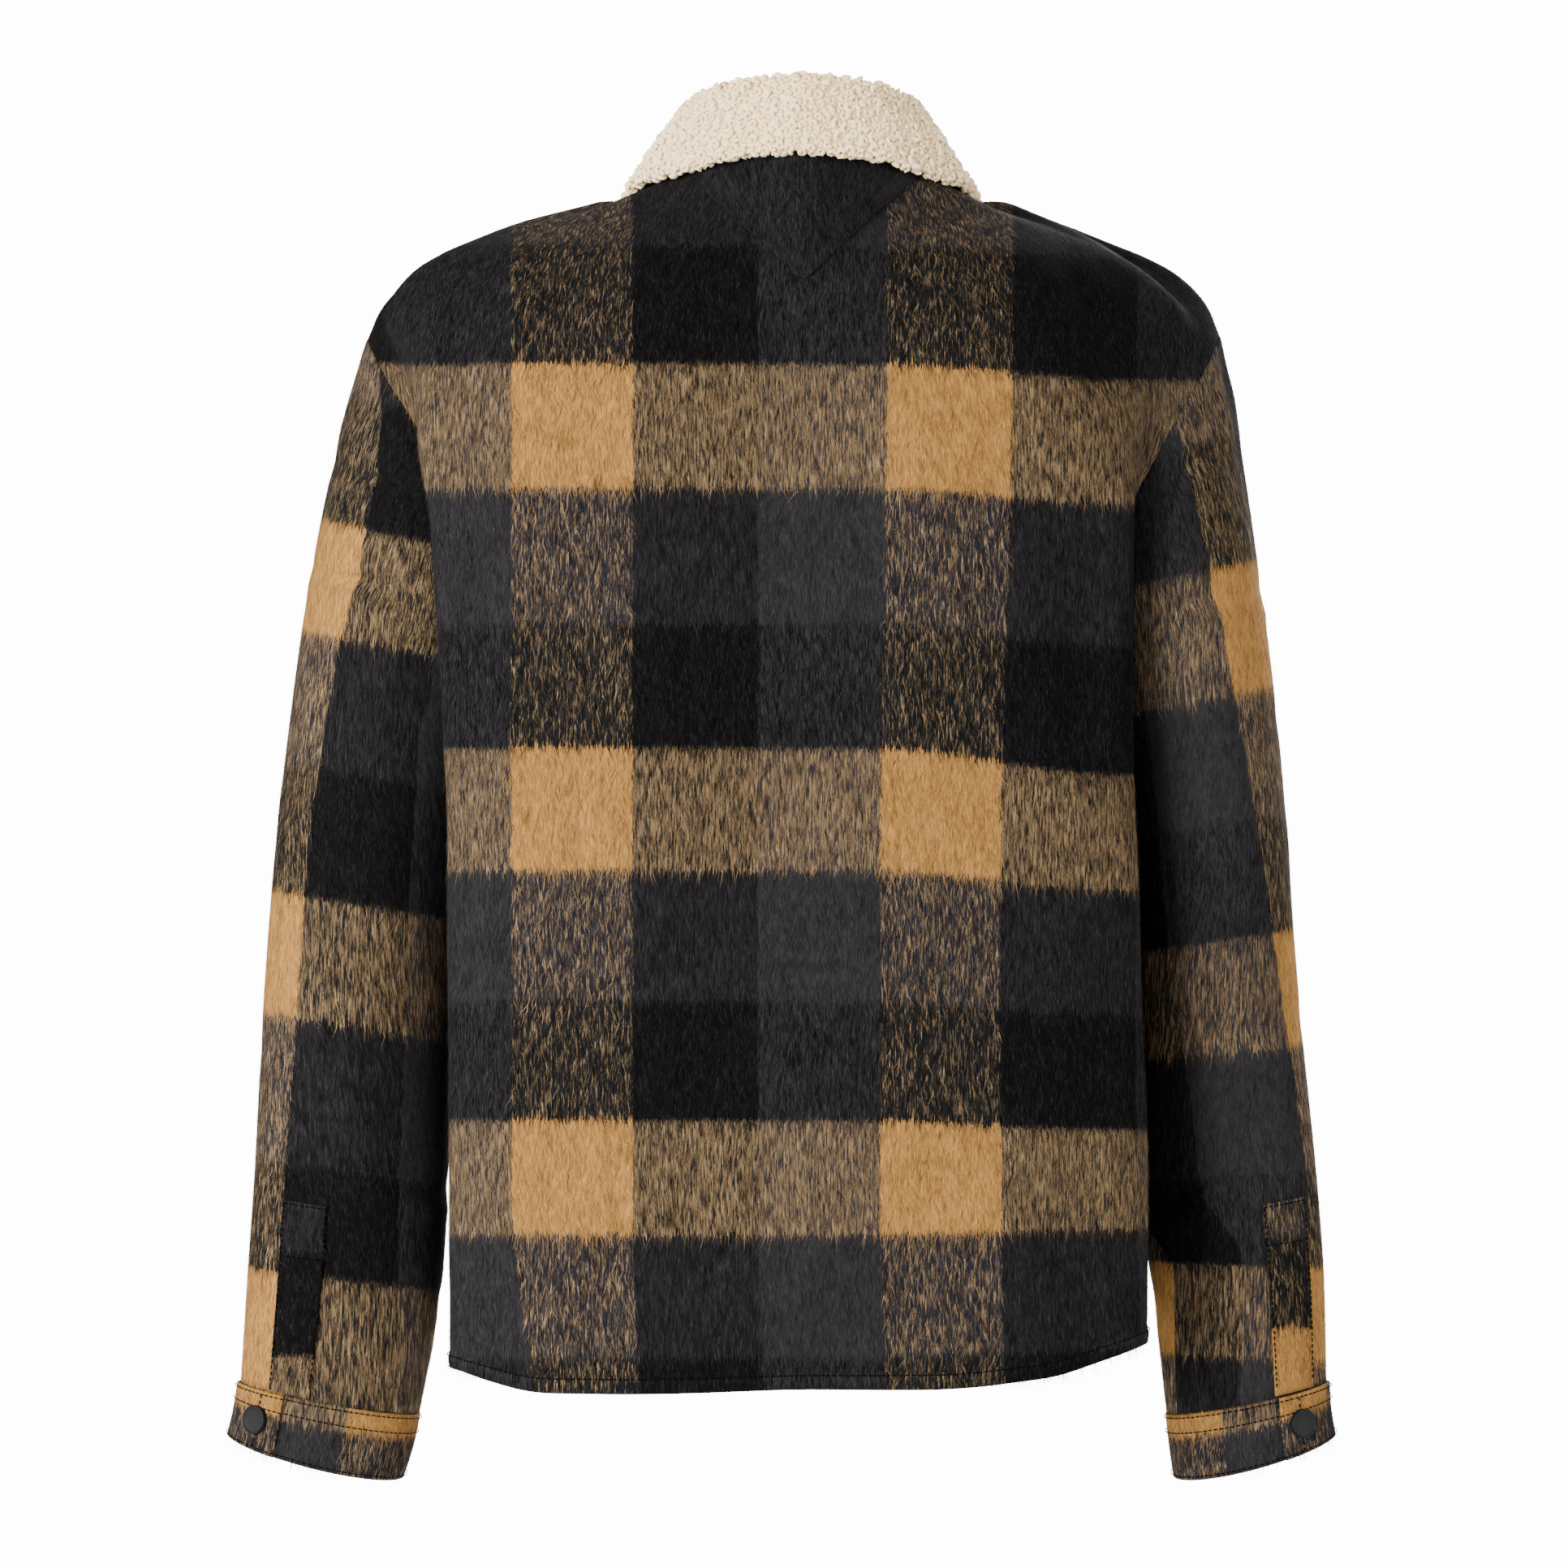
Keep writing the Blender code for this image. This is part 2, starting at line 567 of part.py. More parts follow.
def sew_side(panels, side, loop):
    """Shares directions and leaves the seam gap between the back, a front and a sleeve."""
    back, front, sleeve = panels["back"], panels["front_" + side], panels["sleeve_" + side]
    edge = -1 if side == "left" else 0
    first = UNDERARM_ROW * ROW_STEPS
    half = SEAM_GAP / 2 + SEAM_SLACK
    for row in range(first):
        share_normals((back, (row, edge)), (front, (row, -1)))
        shift(back, (row, edge), (0.0, half, 0.0))
        shift(front, (row, -1), (0.0, -half, 0.0))
    middle = back.points.shape[1] // 2
    seam_columns = sum(BACK_STEPS) - BACK_NECK_COLUMN
    for step in range(seam_columns):
        column = middle + int(side_sign(side)) * (BACK_NECK_COLUMN + step)
        front_column = FRONT_NECK_COLUMN + step
        share_normals((back, (-1, column)), (front, (-1, front_column)))
        shift(back, (-1, column), (0.0, half, 0.0))
        shift(front, (-1, front_column), (0.0, -half, 0.0))
    spokes = armhole_direction(loop)
    out = side_sign(side) * half
    turns = RING_POINTS // 2
    for k in range(turns + 1):
        back.normals[-1 - k, edge] = spokes[k]
        shift(back, (-1 - k, edge), (-out, half if k in (0, turns) else 0.0, 0.0))
        front.normals[first + k, -1] = spokes[(turns + k) % RING_POINTS]
        shift(front, (first + k, -1), (-out, -half if k in (0, turns) else 0.0, 0.0))
    for k in range(RING_POINTS):
        sleeve.normals[0, k] = spokes[k]
        shift(sleeve, (0, k), (out, 0.0, 0.0))
    sleeve.points[-1, :, 2] += SEAM_GAP


def hem_thickness(row_count):
    """One wall thickness for each row of a hemmed panel, double over the hem."""
    return np.array([HEM_WALL, HEM_WALL] + [WOOL_WALL] * (row_count - 2))


def with_hem_row(panel):
    """Adds a row just above the hem, where its double cloth ends."""
    first, second = panel.points[0], panel.points[1]
    length = np.linalg.norm(second - first, axis=1).mean()
    share = HEM_DEPTH / length
    points = first * (1 - share) + second * share
    normals = unit(panel.normals[0] * (1 - share) + panel.normals[1] * share)
    return Panel(
        np.insert(panel.points, 1, points, axis=0), np.insert(panel.normals, 1, normals, axis=0)
    )


def collar_path(row):
    """The collar's section: up the stand, over the roll and down the fall."""
    seam, top, edge = (np.array(point) for point in (row.seam, row.top, row.edge))
    out = edge - seam
    out[2] = 0.0
    out = unit(out)
    down = np.array((0.0, 0.0, -COLLAR_ROLL_DROP * row.roll))
    knots = [seam, top - out * row.roll + down, top, top + out * row.roll + down, edge]
    return smooth_line(knots, COLLAR_PATH_STEPS)


def collar_panel():
    """The collar's outer side from its right front end to its left one."""
    half = smooth_line([collar_path(row) for row in COLLAR], COLLAR_STEPS)
    whole = np.concatenate((mirrored(half[::-1]), half[1:])).transpose(1, 0, 2)
    whole[..., 0] += NECK_LEAN * COLLAR_LEAN_SHARE
    return facing(whole, lambda point: (point[0], point[1], 1.0))


def neck_patch(back, made_of, collection, cutters):
    """The V patch: a thin wall laid on the back, cut to its shape by a prism."""
    middle = back.points.shape[1] // 2
    rows = slice(PATCH_FIRST_ROW, None)
    columns = slice(middle - PATCH_SIDE_COLUMNS, middle + PATCH_SIDE_COLUMNS + 1)
    points = back.points[rows, columns].copy()
    normals = back.normals[rows, columns].copy()
    points[-1] += (points[-2] - points[-1]) * PATCH_TOP_SHORTER
    lift = LIE_GAP + PATCH_WALL
    cloth = wall("neck_patch", Panel(points, normals), PATCH_WALL, made_of, collection, lift)
    rise = PATCH_HALF_WIDTH - PATCH_TIP_WIDTH
    outline = (
        (-PATCH_TIP_WIDTH, PATCH_TIP_Z),
        (PATCH_TIP_WIDTH, PATCH_TIP_Z),
        (PATCH_HALF_WIDTH, PATCH_TIP_Z + rise),
        (PATCH_HALF_WIDTH, PATCH_TIP_Z + 2 * rise),
        (-PATCH_HALF_WIDTH, PATCH_TIP_Z + 2 * rise),
        (-PATCH_HALF_WIDTH, PATCH_TIP_Z + rise),
    )
    shape = bmesh.new()
    near = [shape.verts.new((x + NECK_LEAN, PATCH_PRISM_Y[0], z)) for x, z in outline]
    far = [shape.verts.new((x + NECK_LEAN, PATCH_PRISM_Y[1], z)) for x, z in outline]
    shape.faces.new(near)
    shape.faces.new(far)
    for k in range(len(outline)):
        n = (k + 1) % len(outline)
        shape.faces.new((near[k], near[n], far[n], far[k]))
    bmesh.ops.recalc_face_normals(shape, faces=shape.faces)
    prism = add_object("neck_patch_prism", shape, made_of, cutters)
    prism.hide_render = True
    prism.display_type = "WIRE"
    cut = cloth.modifiers.new("V shape", "BOOLEAN")
    cut.operation = "INTERSECT"
    cut.object = prism
    return cloth


def between(low, high):
    """The two values and the whole numbers between them that aren't close to either."""
    first, last = low + CLOSE_SAMPLES, high - CLOSE_SAMPLES
    inside = [float(k) for k in range(math.ceil(low), math.floor(high) + 1) if first < k < last]
    return [low, *inside, high]


def snap(name, point, normal, made_of, collection):
    """A round snap cap with a raised rim: a turned profile set on the cloth."""
    profile = (
        (0.0, SNAP_DISH_HEIGHT),
        (SNAP_RADIUS - SNAP_RIM, SNAP_DISH_HEIGHT),
        (SNAP_RADIUS - 0.5 * SNAP_RIM, SNAP_HEIGHT),
        (SNAP_RADIUS, SNAP_SIDE_HEIGHT),
        (SNAP_RADIUS, 0.0),
        (0.0, 0.0),
    )
    shape = bmesh.new()
    points = [shape.verts.new((radius, 0.0, height)) for radius, height in profile]
    for start, end in zip(points, points[1:]):
        shape.edges.new((start, end))
    cap = add_object(name, shape, made_of, collection)
    turned = cap.modifiers.new("turned", "SCREW")
    turned.steps = SNAP_TURNS
    turned.render_steps = SNAP_TURNS
    turned.use_smooth_shade = True
    turned.use_merge_vertices = True
    turned.merge_threshold = SNAP_MERGE
    cap.rotation_euler = Vector(normal).to_track_quat("Z", "Y").to_euler()
    cap.location = Vector(point) + Vector(normal) * LIE_GAP
    return cap


def clear_scene():
    for old in list(bpy.data.objects):
        bpy.data.objects.remove(old, do_unlink=True)


def main():
    clear_scene()
    collection = bpy.data.collections.new(COLLECTION)
    cutters = bpy.data.collections.new("cutters")
    bpy.context.scene.collection.children.link(collection)
    bpy.context.scene.collection.children.link(cutters)
    wool = material("check_wool", (0.23, 0.13, 0.07), 0.9)
    patch_wool = material("charcoal_wool", (0.05, 0.047, 0.05), 0.9)
    teddy = material("cream_teddy", (0.75, 0.62, 0.45), 0.95)
    black = material("black_snap", (0.02, 0.02, 0.02), 0.5)

    panels = body_panels()
    for name in ("back", "front_left", "front_right"):
        hemmed = with_hem_row(panels[name])
        wall(name, hemmed, hem_thickness(len(hemmed.points)), wool, collection)
    for side in ("left", "right"):
        sleeve = panels["sleeve_" + side]
        wall("sleeve_" + side, sleeve, WOOL_WALL, wool, collection, closed=True)
        rings = placed(cuff_rings(side), side)
        cuff = facing(rings, lambda point, middle=rings.mean(axis=(0, 1)): point - middle)
        wall("cuff_" + side, cuff, WOOL_WALL, wool, collection)
        strip = piece_on(sleeve, between(*PLACKET_RINGS), between(*PLACKET_AT[side]))
        wall("sleeve_placket_" + side, strip, PATCH_WALL, wool, collection, LIE_GAP + PATCH_WALL)
        turn = (CUFF_SNAP_AT[side] - CUFF_LAP_START + RING_POINTS) * (cuff.points.shape[1] - 1)
        column = turn / (RING_POINTS + CUFF_LAP[side])
        point = at(cuff.points, CUFF_SNAP_ROW, column)
        normal = unit(at(cuff.normals, CUFF_SNAP_ROW, column))
        snap("cuff_snap_" + side, point, normal, black, collection)

    left = panels["front_left"]
    neck_row = len(left.points) - FRONT_PLACKET_NECK_ROWS
    strip = piece_on(left, between(FRONT_PLACKET_HEM_ROW, neck_row), FRONT_PLACKET_AT)
    wall("front_placket", strip, PATCH_WALL, wool, collection, LIE_GAP + PATCH_WALL)
    for index in range(FRONT_SNAP_COUNT):
        level = FRONT_SNAP_TOP - index * FRONT_SNAP_PITCH
        heights = [at(strip.points, row, FRONT_SNAP_COLUMN)[2] for row in range(len(strip.points))]
        row = float(np.interp(level, heights, np.arange(len(heights))))
        normal = unit(at(strip.normals, row, FRONT_SNAP_COLUMN))
        point = at(strip.points, row, FRONT_SNAP_COLUMN) + normal * (LIE_GAP + PATCH_WALL)
        snap(f"front_snap_{index + 1}", point, normal, black, collection)

    collar = collar_panel()
    wall("collar_teddy", collar, TEDDY_WALL, teddy, collection)
    wall("under_collar", collar, UNDER_COLLAR_WALL, wool, collection, -(TEDDY_WALL + COLLAR_GAP))
    neck_patch(panels["back"], patch_wool, collection, cutters)


main()
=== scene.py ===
"""Looks of the teddy collar overshirt: brushed check wool, teddy collar, stitches, snaps and stage.

The panels are the frame's own, worked out again here at a finer step, so each shell lies on its solid.
"""

import math
from collections import namedtuple

import bpy
import numpy as np
from bpy.props import FloatProperty, FloatVectorProperty, IntProperty, PointerProperty
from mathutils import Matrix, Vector
from mathutils.bvhtree import BVHTree


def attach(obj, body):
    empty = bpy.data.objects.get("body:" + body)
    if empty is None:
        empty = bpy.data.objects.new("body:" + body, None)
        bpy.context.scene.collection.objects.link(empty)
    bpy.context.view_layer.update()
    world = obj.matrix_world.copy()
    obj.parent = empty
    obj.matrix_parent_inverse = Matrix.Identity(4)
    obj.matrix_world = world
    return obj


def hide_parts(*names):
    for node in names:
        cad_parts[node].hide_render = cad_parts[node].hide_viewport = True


bl_info = {
    "name": "Teddy collar overshirt",
    "version": (1, 0, 0),
    "blender": (4, 5, 0),
    "location": "View3D > Sidebar > Overshirt",
    "description": "Dresses the overshirt's frame in check wool, teddy and snaps",
    "category": "Object",
}

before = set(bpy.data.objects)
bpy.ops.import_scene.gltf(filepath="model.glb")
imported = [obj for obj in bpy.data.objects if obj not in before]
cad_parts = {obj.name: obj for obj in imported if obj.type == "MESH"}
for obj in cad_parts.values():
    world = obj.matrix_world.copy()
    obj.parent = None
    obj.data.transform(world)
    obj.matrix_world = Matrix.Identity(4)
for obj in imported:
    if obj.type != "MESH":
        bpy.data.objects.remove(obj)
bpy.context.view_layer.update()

# The camera, and the picture's measures in its own points: 1932 each way, the middle at 966.
CAMERA_AT = (0.007, 3.5, -0.3435)
CAMERA_LENS = 138.8
CAMERA_SENSOR = 36.0
FOCUS = 7448.0
MIDDLE = 966.0
BACK_SCALE = 2207.0

# Cloth, in metres.
TEDDY_DEPTH = 0.0020
TEDDY_WALL = 0.0056
UNDER_COLLAR_WALL = 0.0016
COLLAR_GAP = 0.0007
SEAM_SLACK = 0.00005
SEAM_GAP = 0.0003
LIE_GAP = 0.0005
PATCH_WALL = 0.0012
CHECK = 0.0707

# Front edge: the left front laps over the right one.
FRONT_LAP = 0.018
UNDER_LAP_DEPTH = 0.0049
UNDER_LAP_HEM_DEPTH = 0.0062
UNDER_LAP_NECK_DEPTH = 0.0072
UNDER_LAP_NECK_ROWS = 8
UNDER_LAP_REACH = 0.055
UNDER_LAP_FLAT = 0.026
FRONT_PLACKET_AT = (0.02, 1.0, 1.62)
FRONT_PLACKET_HEM_ROW = 0.1
FRONT_PLACKET_NECK_ROWS = 1.5
FRONT_SNAP_COLUMN = 1.0
FRONT_SNAP_COUNT = 7
FRONT_SNAP_TOP = -0.106
FRONT_SNAP_PITCH = 0.081

# Snap caps.
SNAP_RADIUS = 0.0085
SNAP_HEIGHT = 0.0026
SNAP_SIDE_HEIGHT = 0.0016
SNAP_DISH_HEIGHT = 0.0021
SNAP_RIM = 0.0016

# Neck and shoulder seam, for the wearer's left side. The shoulder knots are x and z.
NECK_BACK = ((0.0, 0.058, 0.0240), (0.040, 0.046, 0.0190), (0.066, 0.018, 0.0100))
NECK_SIDE = (0.074, -0.010, 0.0030)
NECK_FRONT = (
    (-0.018, -0.0965, -0.0712),
    (0.000, -0.0990, -0.0750),
    (0.034, -0.0895, -0.0590),
    (0.062, -0.0580, -0.0310),
)
SHOULDER_Y = -0.012
SHOULDER_TIP_Y = -0.005
SHOULDER = (
    (0.1000, -0.0058),
    (0.1180, -0.0052),
    (0.1400, -0.0135),
    (0.1830, -0.0298),
    (0.2240, -0.0490),
    (0.2415, -0.0665),
)
HEM_LIFT_RIGHT = 0.018
HEM_LIFT_REACH = 0.30
HEM_LIFT_AT_BLADE = 0.3
HEM_LIFT_AT_CHEST = 0.5
HEM_CORNER_LEFT = 0.009
HEM_CORNER_RIGHT = 0.005
HEM_CORNER_REACH = 0.045
HEM_CORNER_HEIGHT = 0.06
NECK_LEAN = -0.0038
COLLAR_LEAN_SHARE = 0.9
LEAN_START_Z = -0.10
LEAN_REACH = 0.09

# Back, a row for each level from the hem up. The ridge is the drape fold that hangs beside the
# sleeve, and the side is the side seam, then the armhole. l and r are the wearer's sides.
Back = namedtuple(
    "Back", "z_mid y_mid blade_y rise ridge_l ridge_r ridge_y ridge_z side_l side_r side_y side_z dip"
)
BACK = (
    Back(-0.6815, 0.126, 0.121, -0.004, 0.1965, 0.1990, 0.072, -0.683, 0.1955, 0.1940, -0.004, -0.680, 0.006),
    Back(-0.625, 0.128, 0.123, -0.002, 0.1965, 0.1990, 0.078, -0.624, 0.1955, 0.1935, -0.002, -0.622, 0.007),
    Back(-0.560, 0.129, 0.124, 0.000, 0.1970, 0.1985, 0.082, -0.557, 0.1945, 0.1920, 0.000, -0.557, 0.008),
    Back(-0.490, 0.129, 0.125, 0.000, 0.1970, 0.1965, 0.085, -0.487, 0.1915, 0.1880, 0.000, -0.487, 0.009),
    Back(-0.420, 0.129, 0.126, 0.000, 0.1975, 0.1945, 0.088, -0.417, 0.1860, 0.1830, 0.000, -0.417, 0.010),
    Back(-0.345, 0.128, 0.126, 0.000, 0.1985, 0.1905, 0.090, -0.343, 0.1765, 0.1750, 0.000, -0.343, 0.011),
    Back(-0.270, 0.127, 0.127, 0.000, 0.2015, 0.1900, 0.092, -0.272, 0.1660, 0.1660, 0.000, -0.270, 0.012),
    Back(-0.225, 0.125, 0.127, 0.000, 0.2035, 0.1900, 0.092, -0.232, 0.1700, 0.1700, 0.040, -0.238, 0.009),
    Back(-0.175, 0.123, 0.126, 0.002, 0.2060, 0.1900, 0.090, -0.193, 0.1810, 0.1810, 0.060, -0.203, 0.006),
    Back(-0.125, 0.118, 0.121, 0.015, 0.2115, 0.1925, 0.084, -0.158, 0.2000, 0.1990, 0.064, -0.168, 0.005),
    Back(-0.080, 0.109, 0.105, 0.029, 0.2165, 0.1960, 0.073, -0.122, 0.2175, 0.2155, 0.057, -0.138, 0.004),
    Back(-0.040, 0.093, 0.073, 0.037, 0.2275, 0.2060, 0.050, -0.093, 0.2335, 0.2300, 0.038, -0.114, 0.003),
    Back(-0.008, 0.077, 0.030, 0.034, 0.2380, 0.2220, 0.022, -0.073, 0.2440, 0.2405, 0.017, -0.095, 0.002),
)
TIP_L = (0.2490, SHOULDER_TIP_Y, -0.086)
TIP_R = (0.2455, SHOULDER_TIP_Y, -0.084)
BLADE_SHARE = 0.50
VALLEY_SHARE = 0.55
UNDERARM_ROW = 6

# Fronts, on the same levels. Up to the underarm the side is the back's.
Front = namedtuple("Front", "z_mid y_mid chest_y flank_x flank_y rise side_x side_y side_z")
FRONT = (
    Front(-0.680, -0.140, -0.134, 0.174, -0.082, 0.000, None, None, None),
    Front(-0.622, -0.141, -0.135, 0.174, -0.084, 0.000, None, None, None),
    Front(-0.557, -0.141, -0.136, 0.172, -0.085, 0.000, None, None, None),
    Front(-0.487, -0.141, -0.136, 0.169, -0.086, 0.000, None, None, None),
    Front(-0.417, -0.140, -0.136, 0.164, -0.088, 0.000, None, None, None),
    Front(-0.343, -0.139, -0.136, 0.157, -0.090, 0.000, None, None, None),
    Front(-0.270, -0.137, -0.135, 0.151, -0.090, 0.000, None, None, None),
    Front(-0.232, -0.135, -0.133, 0.152, -0.093, 0.002, 0.169, -0.036, -0.240),
    Front(-0.197, -0.132, -0.130, 0.156, -0.096, 0.004, 0.176, -0.060, -0.208),
    Front(-0.165, -0.128, -0.124, 0.160, -0.097, 0.011, 0.186, -0.073, -0.176),
    Front(-0.138, -0.123, -0.108, 0.166, -0.091, 0.032, 0.200, -0.072, -0.147),
    Front(-0.116, -0.117, -0.082, 0.172, -0.069, 0.052, 0.219, -0.056, -0.120),
    Front(-0.096, -0.109, -0.048, 0.178, -0.040, 0.068, 0.238, -0.032, -0.100),
)
CHEST_X = 0.086
CHEST_SHARE = 0.45
FLANK_SHARE = 0.75

# Sleeves, a row for each ring below the armhole. The outer point is the arm's outer line, the
# inner point faces the body.
Ring = namedtuple("Ring", "outer_l outer_r outer_z inner_l inner_r inner_z y half_depth")
SLEEVE = (
    Ring(0.2595, 0.2547, -0.118, 0.1705, 0.1705, -0.285, -0.006, 0.075),
    Ring(0.2675, 0.2593, -0.152, 0.1745, 0.1740, -0.300, -0.007, 0.078),
    Ring(0.2765, 0.2650, -0.195, 0.1790, 0.1775, -0.320, -0.009, 0.079),
    Ring(0.2855, 0.2720, -0.245, 0.1845, 0.1825, -0.347, -0.012, 0.077),
    Ring(0.2940, 0.2795, -0.305, 0.1905, 0.1880, -0.385, -0.016, 0.073),
    Ring(0.3020, 0.2855, -0.370, 0.1955, 0.1915, -0.430, -0.021, 0.067),
    Ring(0.3080, 0.2905, -0.435, 0.1990, 0.1935, -0.480, -0.026, 0.061),
    Ring(0.3125, 0.2965, -0.500, 0.2015, 0.1965, -0.530, -0.030, 0.056),
    Ring(0.3160, 0.3035, -0.565, 0.2035, 0.2000, -0.582, -0.033, 0.051),
    Ring(0.3205, 0.3085, -0.628, 0.2070, 0.2080, -0.636, -0.035, 0.046),
    Ring(0.3245, 0.3100, -0.692, 0.2200, 0.2165, -0.711, -0.035, 0.041),
)
CUFF = (
    Ring(0.3240, 0.3095, -0.6925, 0.2195, 0.2160, -0.7115, -0.035, 0.0415),
    Ring(0.3265, 0.3105, -0.7085, 0.2235, 0.2180, -0.7305, -0.035, 0.0420),
    Ring(0.3300, 0.3130, -0.7225, 0.2290, 0.2205, -0.7480, -0.035, 0.0425),
)
RING_POINTS = 28
RINGS_TO_ROUND = 5
CUFF_BACK_DROP = 0.002
CUFF_LAP_START = 1.6
CUFF_LAP = {"left": 3.28, "right": 3.83}
CUFF_LAP_RISE_START = 3.0
CUFF_LAP_RISE_LENGTH = 2.6
CUFF_LAP_HEIGHT = 0.0032
CUFF_SNAP_ROW = 1.9
CUFF_SNAP_AT = {"left": 3.54, "right": 4.24}
PLACKET_AT = {"left": (4.0, 6.2), "right": (3.1, 5.7)}
PLACKET_RINGS = (18.5, 21.97)

# Collar, from the centre back to the front end. Each row has the neck seam, the roll on top and
# the free edge of the fall, on the outside of the pile.
Collar = namedtuple("Collar", "seam top edge roll")
COLLAR = (
    Collar((0.000, 0.0545, 0.0244), (0.000, 0.0660, 0.0610), (0.000, 0.0840, 0.0138), 0.0110),
    Collar((0.038, 0.0435, 0.0195), (0.038, 0.0540, 0.0585), (0.056, 0.0690, 0.0118), 0.0112),
    Collar((0.062, 0.0180, 0.0108), (0.061, 0.0250, 0.0530), (0.092, 0.0350, 0.0056), 0.0112),
    Collar((0.0705, -0.0100, 0.0045), (0.068, -0.0120, 0.0460), (0.1090, -0.0110, 0.0022), 0.0112),
    Collar((0.068, -0.0420, -0.0150), (0.063, -0.0480, 0.0230), (0.109, -0.0600, -0.0235), 0.0108),
    Collar((0.050, -0.0735, -0.0360), (0.046, -0.0810, -0.0130), (0.092, -0.1050, -0.0610), 0.0105),
    Collar((0.026, -0.0905, -0.0550), (0.026, -0.1000, -0.0390), (0.070, -0.1290, -0.0950), 0.0105),
    Collar((0.004, -0.0965, -0.0690), (0.007, -0.1070, -0.0520), (0.046, -0.1420, -0.1210), 0.0100),
)
COLLAR_STEPS = (2, 2, 3, 3, 2, 2, 2)
COLLAR_PATH_STEPS = (2, 2, 2, 3)
COLLAR_ROLL_DROP = 0.85

# Neck patch, a V of the same cloth below the collar.
PATCH_HALF_WIDTH = 0.064
PATCH_TIP_Z = -0.060
PATCH_TIP_WIDTH = 0.0015

# Samples between rows and columns of the tables.
ROW_STEPS = 2
BACK_STEPS = (4, 5, 3, 2)
FRONT_STEPS = (1, 3, 5, 4)
BACK_NECK_COLUMN = 5
FRONT_NECK_COLUMN = 4
LAP_CURVE_STEPS = 10
SHOULDER_CURVE_STEPS = 8
CLOSE_SAMPLES = 0.15

# Where the check's rows and columns lie on each piece, as the camera sees them, in picture points.
# Row 0 is charcoal, 1 black and 2 camel, then again. Column 0 is charcoal, 1 camel and 2 black.
# Painted highlight: the fronts are camel above this level, painted in for the bright backlit fuzz along the
# shoulders.
FRONT_PAINTED_HIGHLIGHT_BELOW = 262
FRONT_PAINTED_HIGHLIGHT_ROW = 2.5
BACK_ROWS = ((-165, -2), (150, 0), (300, 1), (446, 2), (600, 3), (765, 4), (920, 5), (1070, 6),
             (1230, 7), (1379, 8), (1520, 9), (1670, 10), (1822, 11), (1975, 12))
BACK_COLUMNS = ((165, -2), (320, -1), (475, 0), (629, 1), (779, 2), (934, 3), (1092, 4), (1247, 5),
                (1401, 6), (1555, 7), (1710, 8))
# The rows hang lower towards the image's right by this much at these levels.
ROW_DROOP = ((300, 13), (446, 20), (600, 17), (930, 34), (1080, 26), (1386, 12), (1515, -8), (1700, -10))
ROW_DROOP_FROM = 1060
ROW_DROOP_REACH = 330
COLUMN_SHIFT = ((930, 0), (1090, 8), (1247, 15), (1400, 0))
COLUMN_SHIFT_LEVELS = ((500, 0.0), (1000, 1.0), (1500, 1.1))
COLUMN_LEAN = ((475, 14), (640, 30), (780, 8))
COLUMN_LEAN_LEVELS = ((1530, 0.0), (1700, 1.0))
SLEEVE_ROWS = {
    "left": ((20, -2), (330, 0), (485, 1), (640, 2), (775, 3), (935, 4), (1095, 5), (1245, 6), (1425, 7),
             (1560, 8), (1726, 9), (1850, 10)),
    "right": ((68, -2), (378, 0), (533, 1), (688, 2), (845, 3), (1000, 4), (1143, 5), (1285, 6), (1440, 7),
              (1562, 8), (1675, 9), (1830, 10)),
}
SLEEVE_ROW_SLOPE = {
    "left": ((640, 0.19), (1095, 0.16), (1560, 0.12)),
    "right": ((690, 0.20), (1145, 0.15), (1500, 0.04), (1560, -0.05)),
}
SLEEVE_CAMEL_EDGE = {
    "left": (
        (511, 468), (626, 455), (733, 436), (804, 414), (1000, 385), (1108, 375), (1450, 350), (1600, 347),
    ),
    "right": ((520, 1450), (700, 1490), (900, 1530), (1100, 1560), (1300, 1590), (1470, 1612)),
}
LOW_CLOSER = 0.60
LOW_CLOSER_FROM = 1440
LOW_CLOSER_REACH = 110
CUFF_CAMEL_ANGLE = {"left": 104, "right": 111}
CUFF_CAMEL_DEPTH = 0.0115
PLACKET_ROWS = {
    "left": ((1469, 0.15), (1538, 1.0), (1668, 2.0), (1725, 2.4)),
    "right": ((1466, 0.6), (1524, 1.0), (1634, 2.0), (1715, 2.5)),
}
PLACKET_COLUMNS = {"left": (2.15, 2.75), "right": (1.1, 1.8)}
PATCH_CHECK = ((0.1, 0.9), (1.1, 1.9))

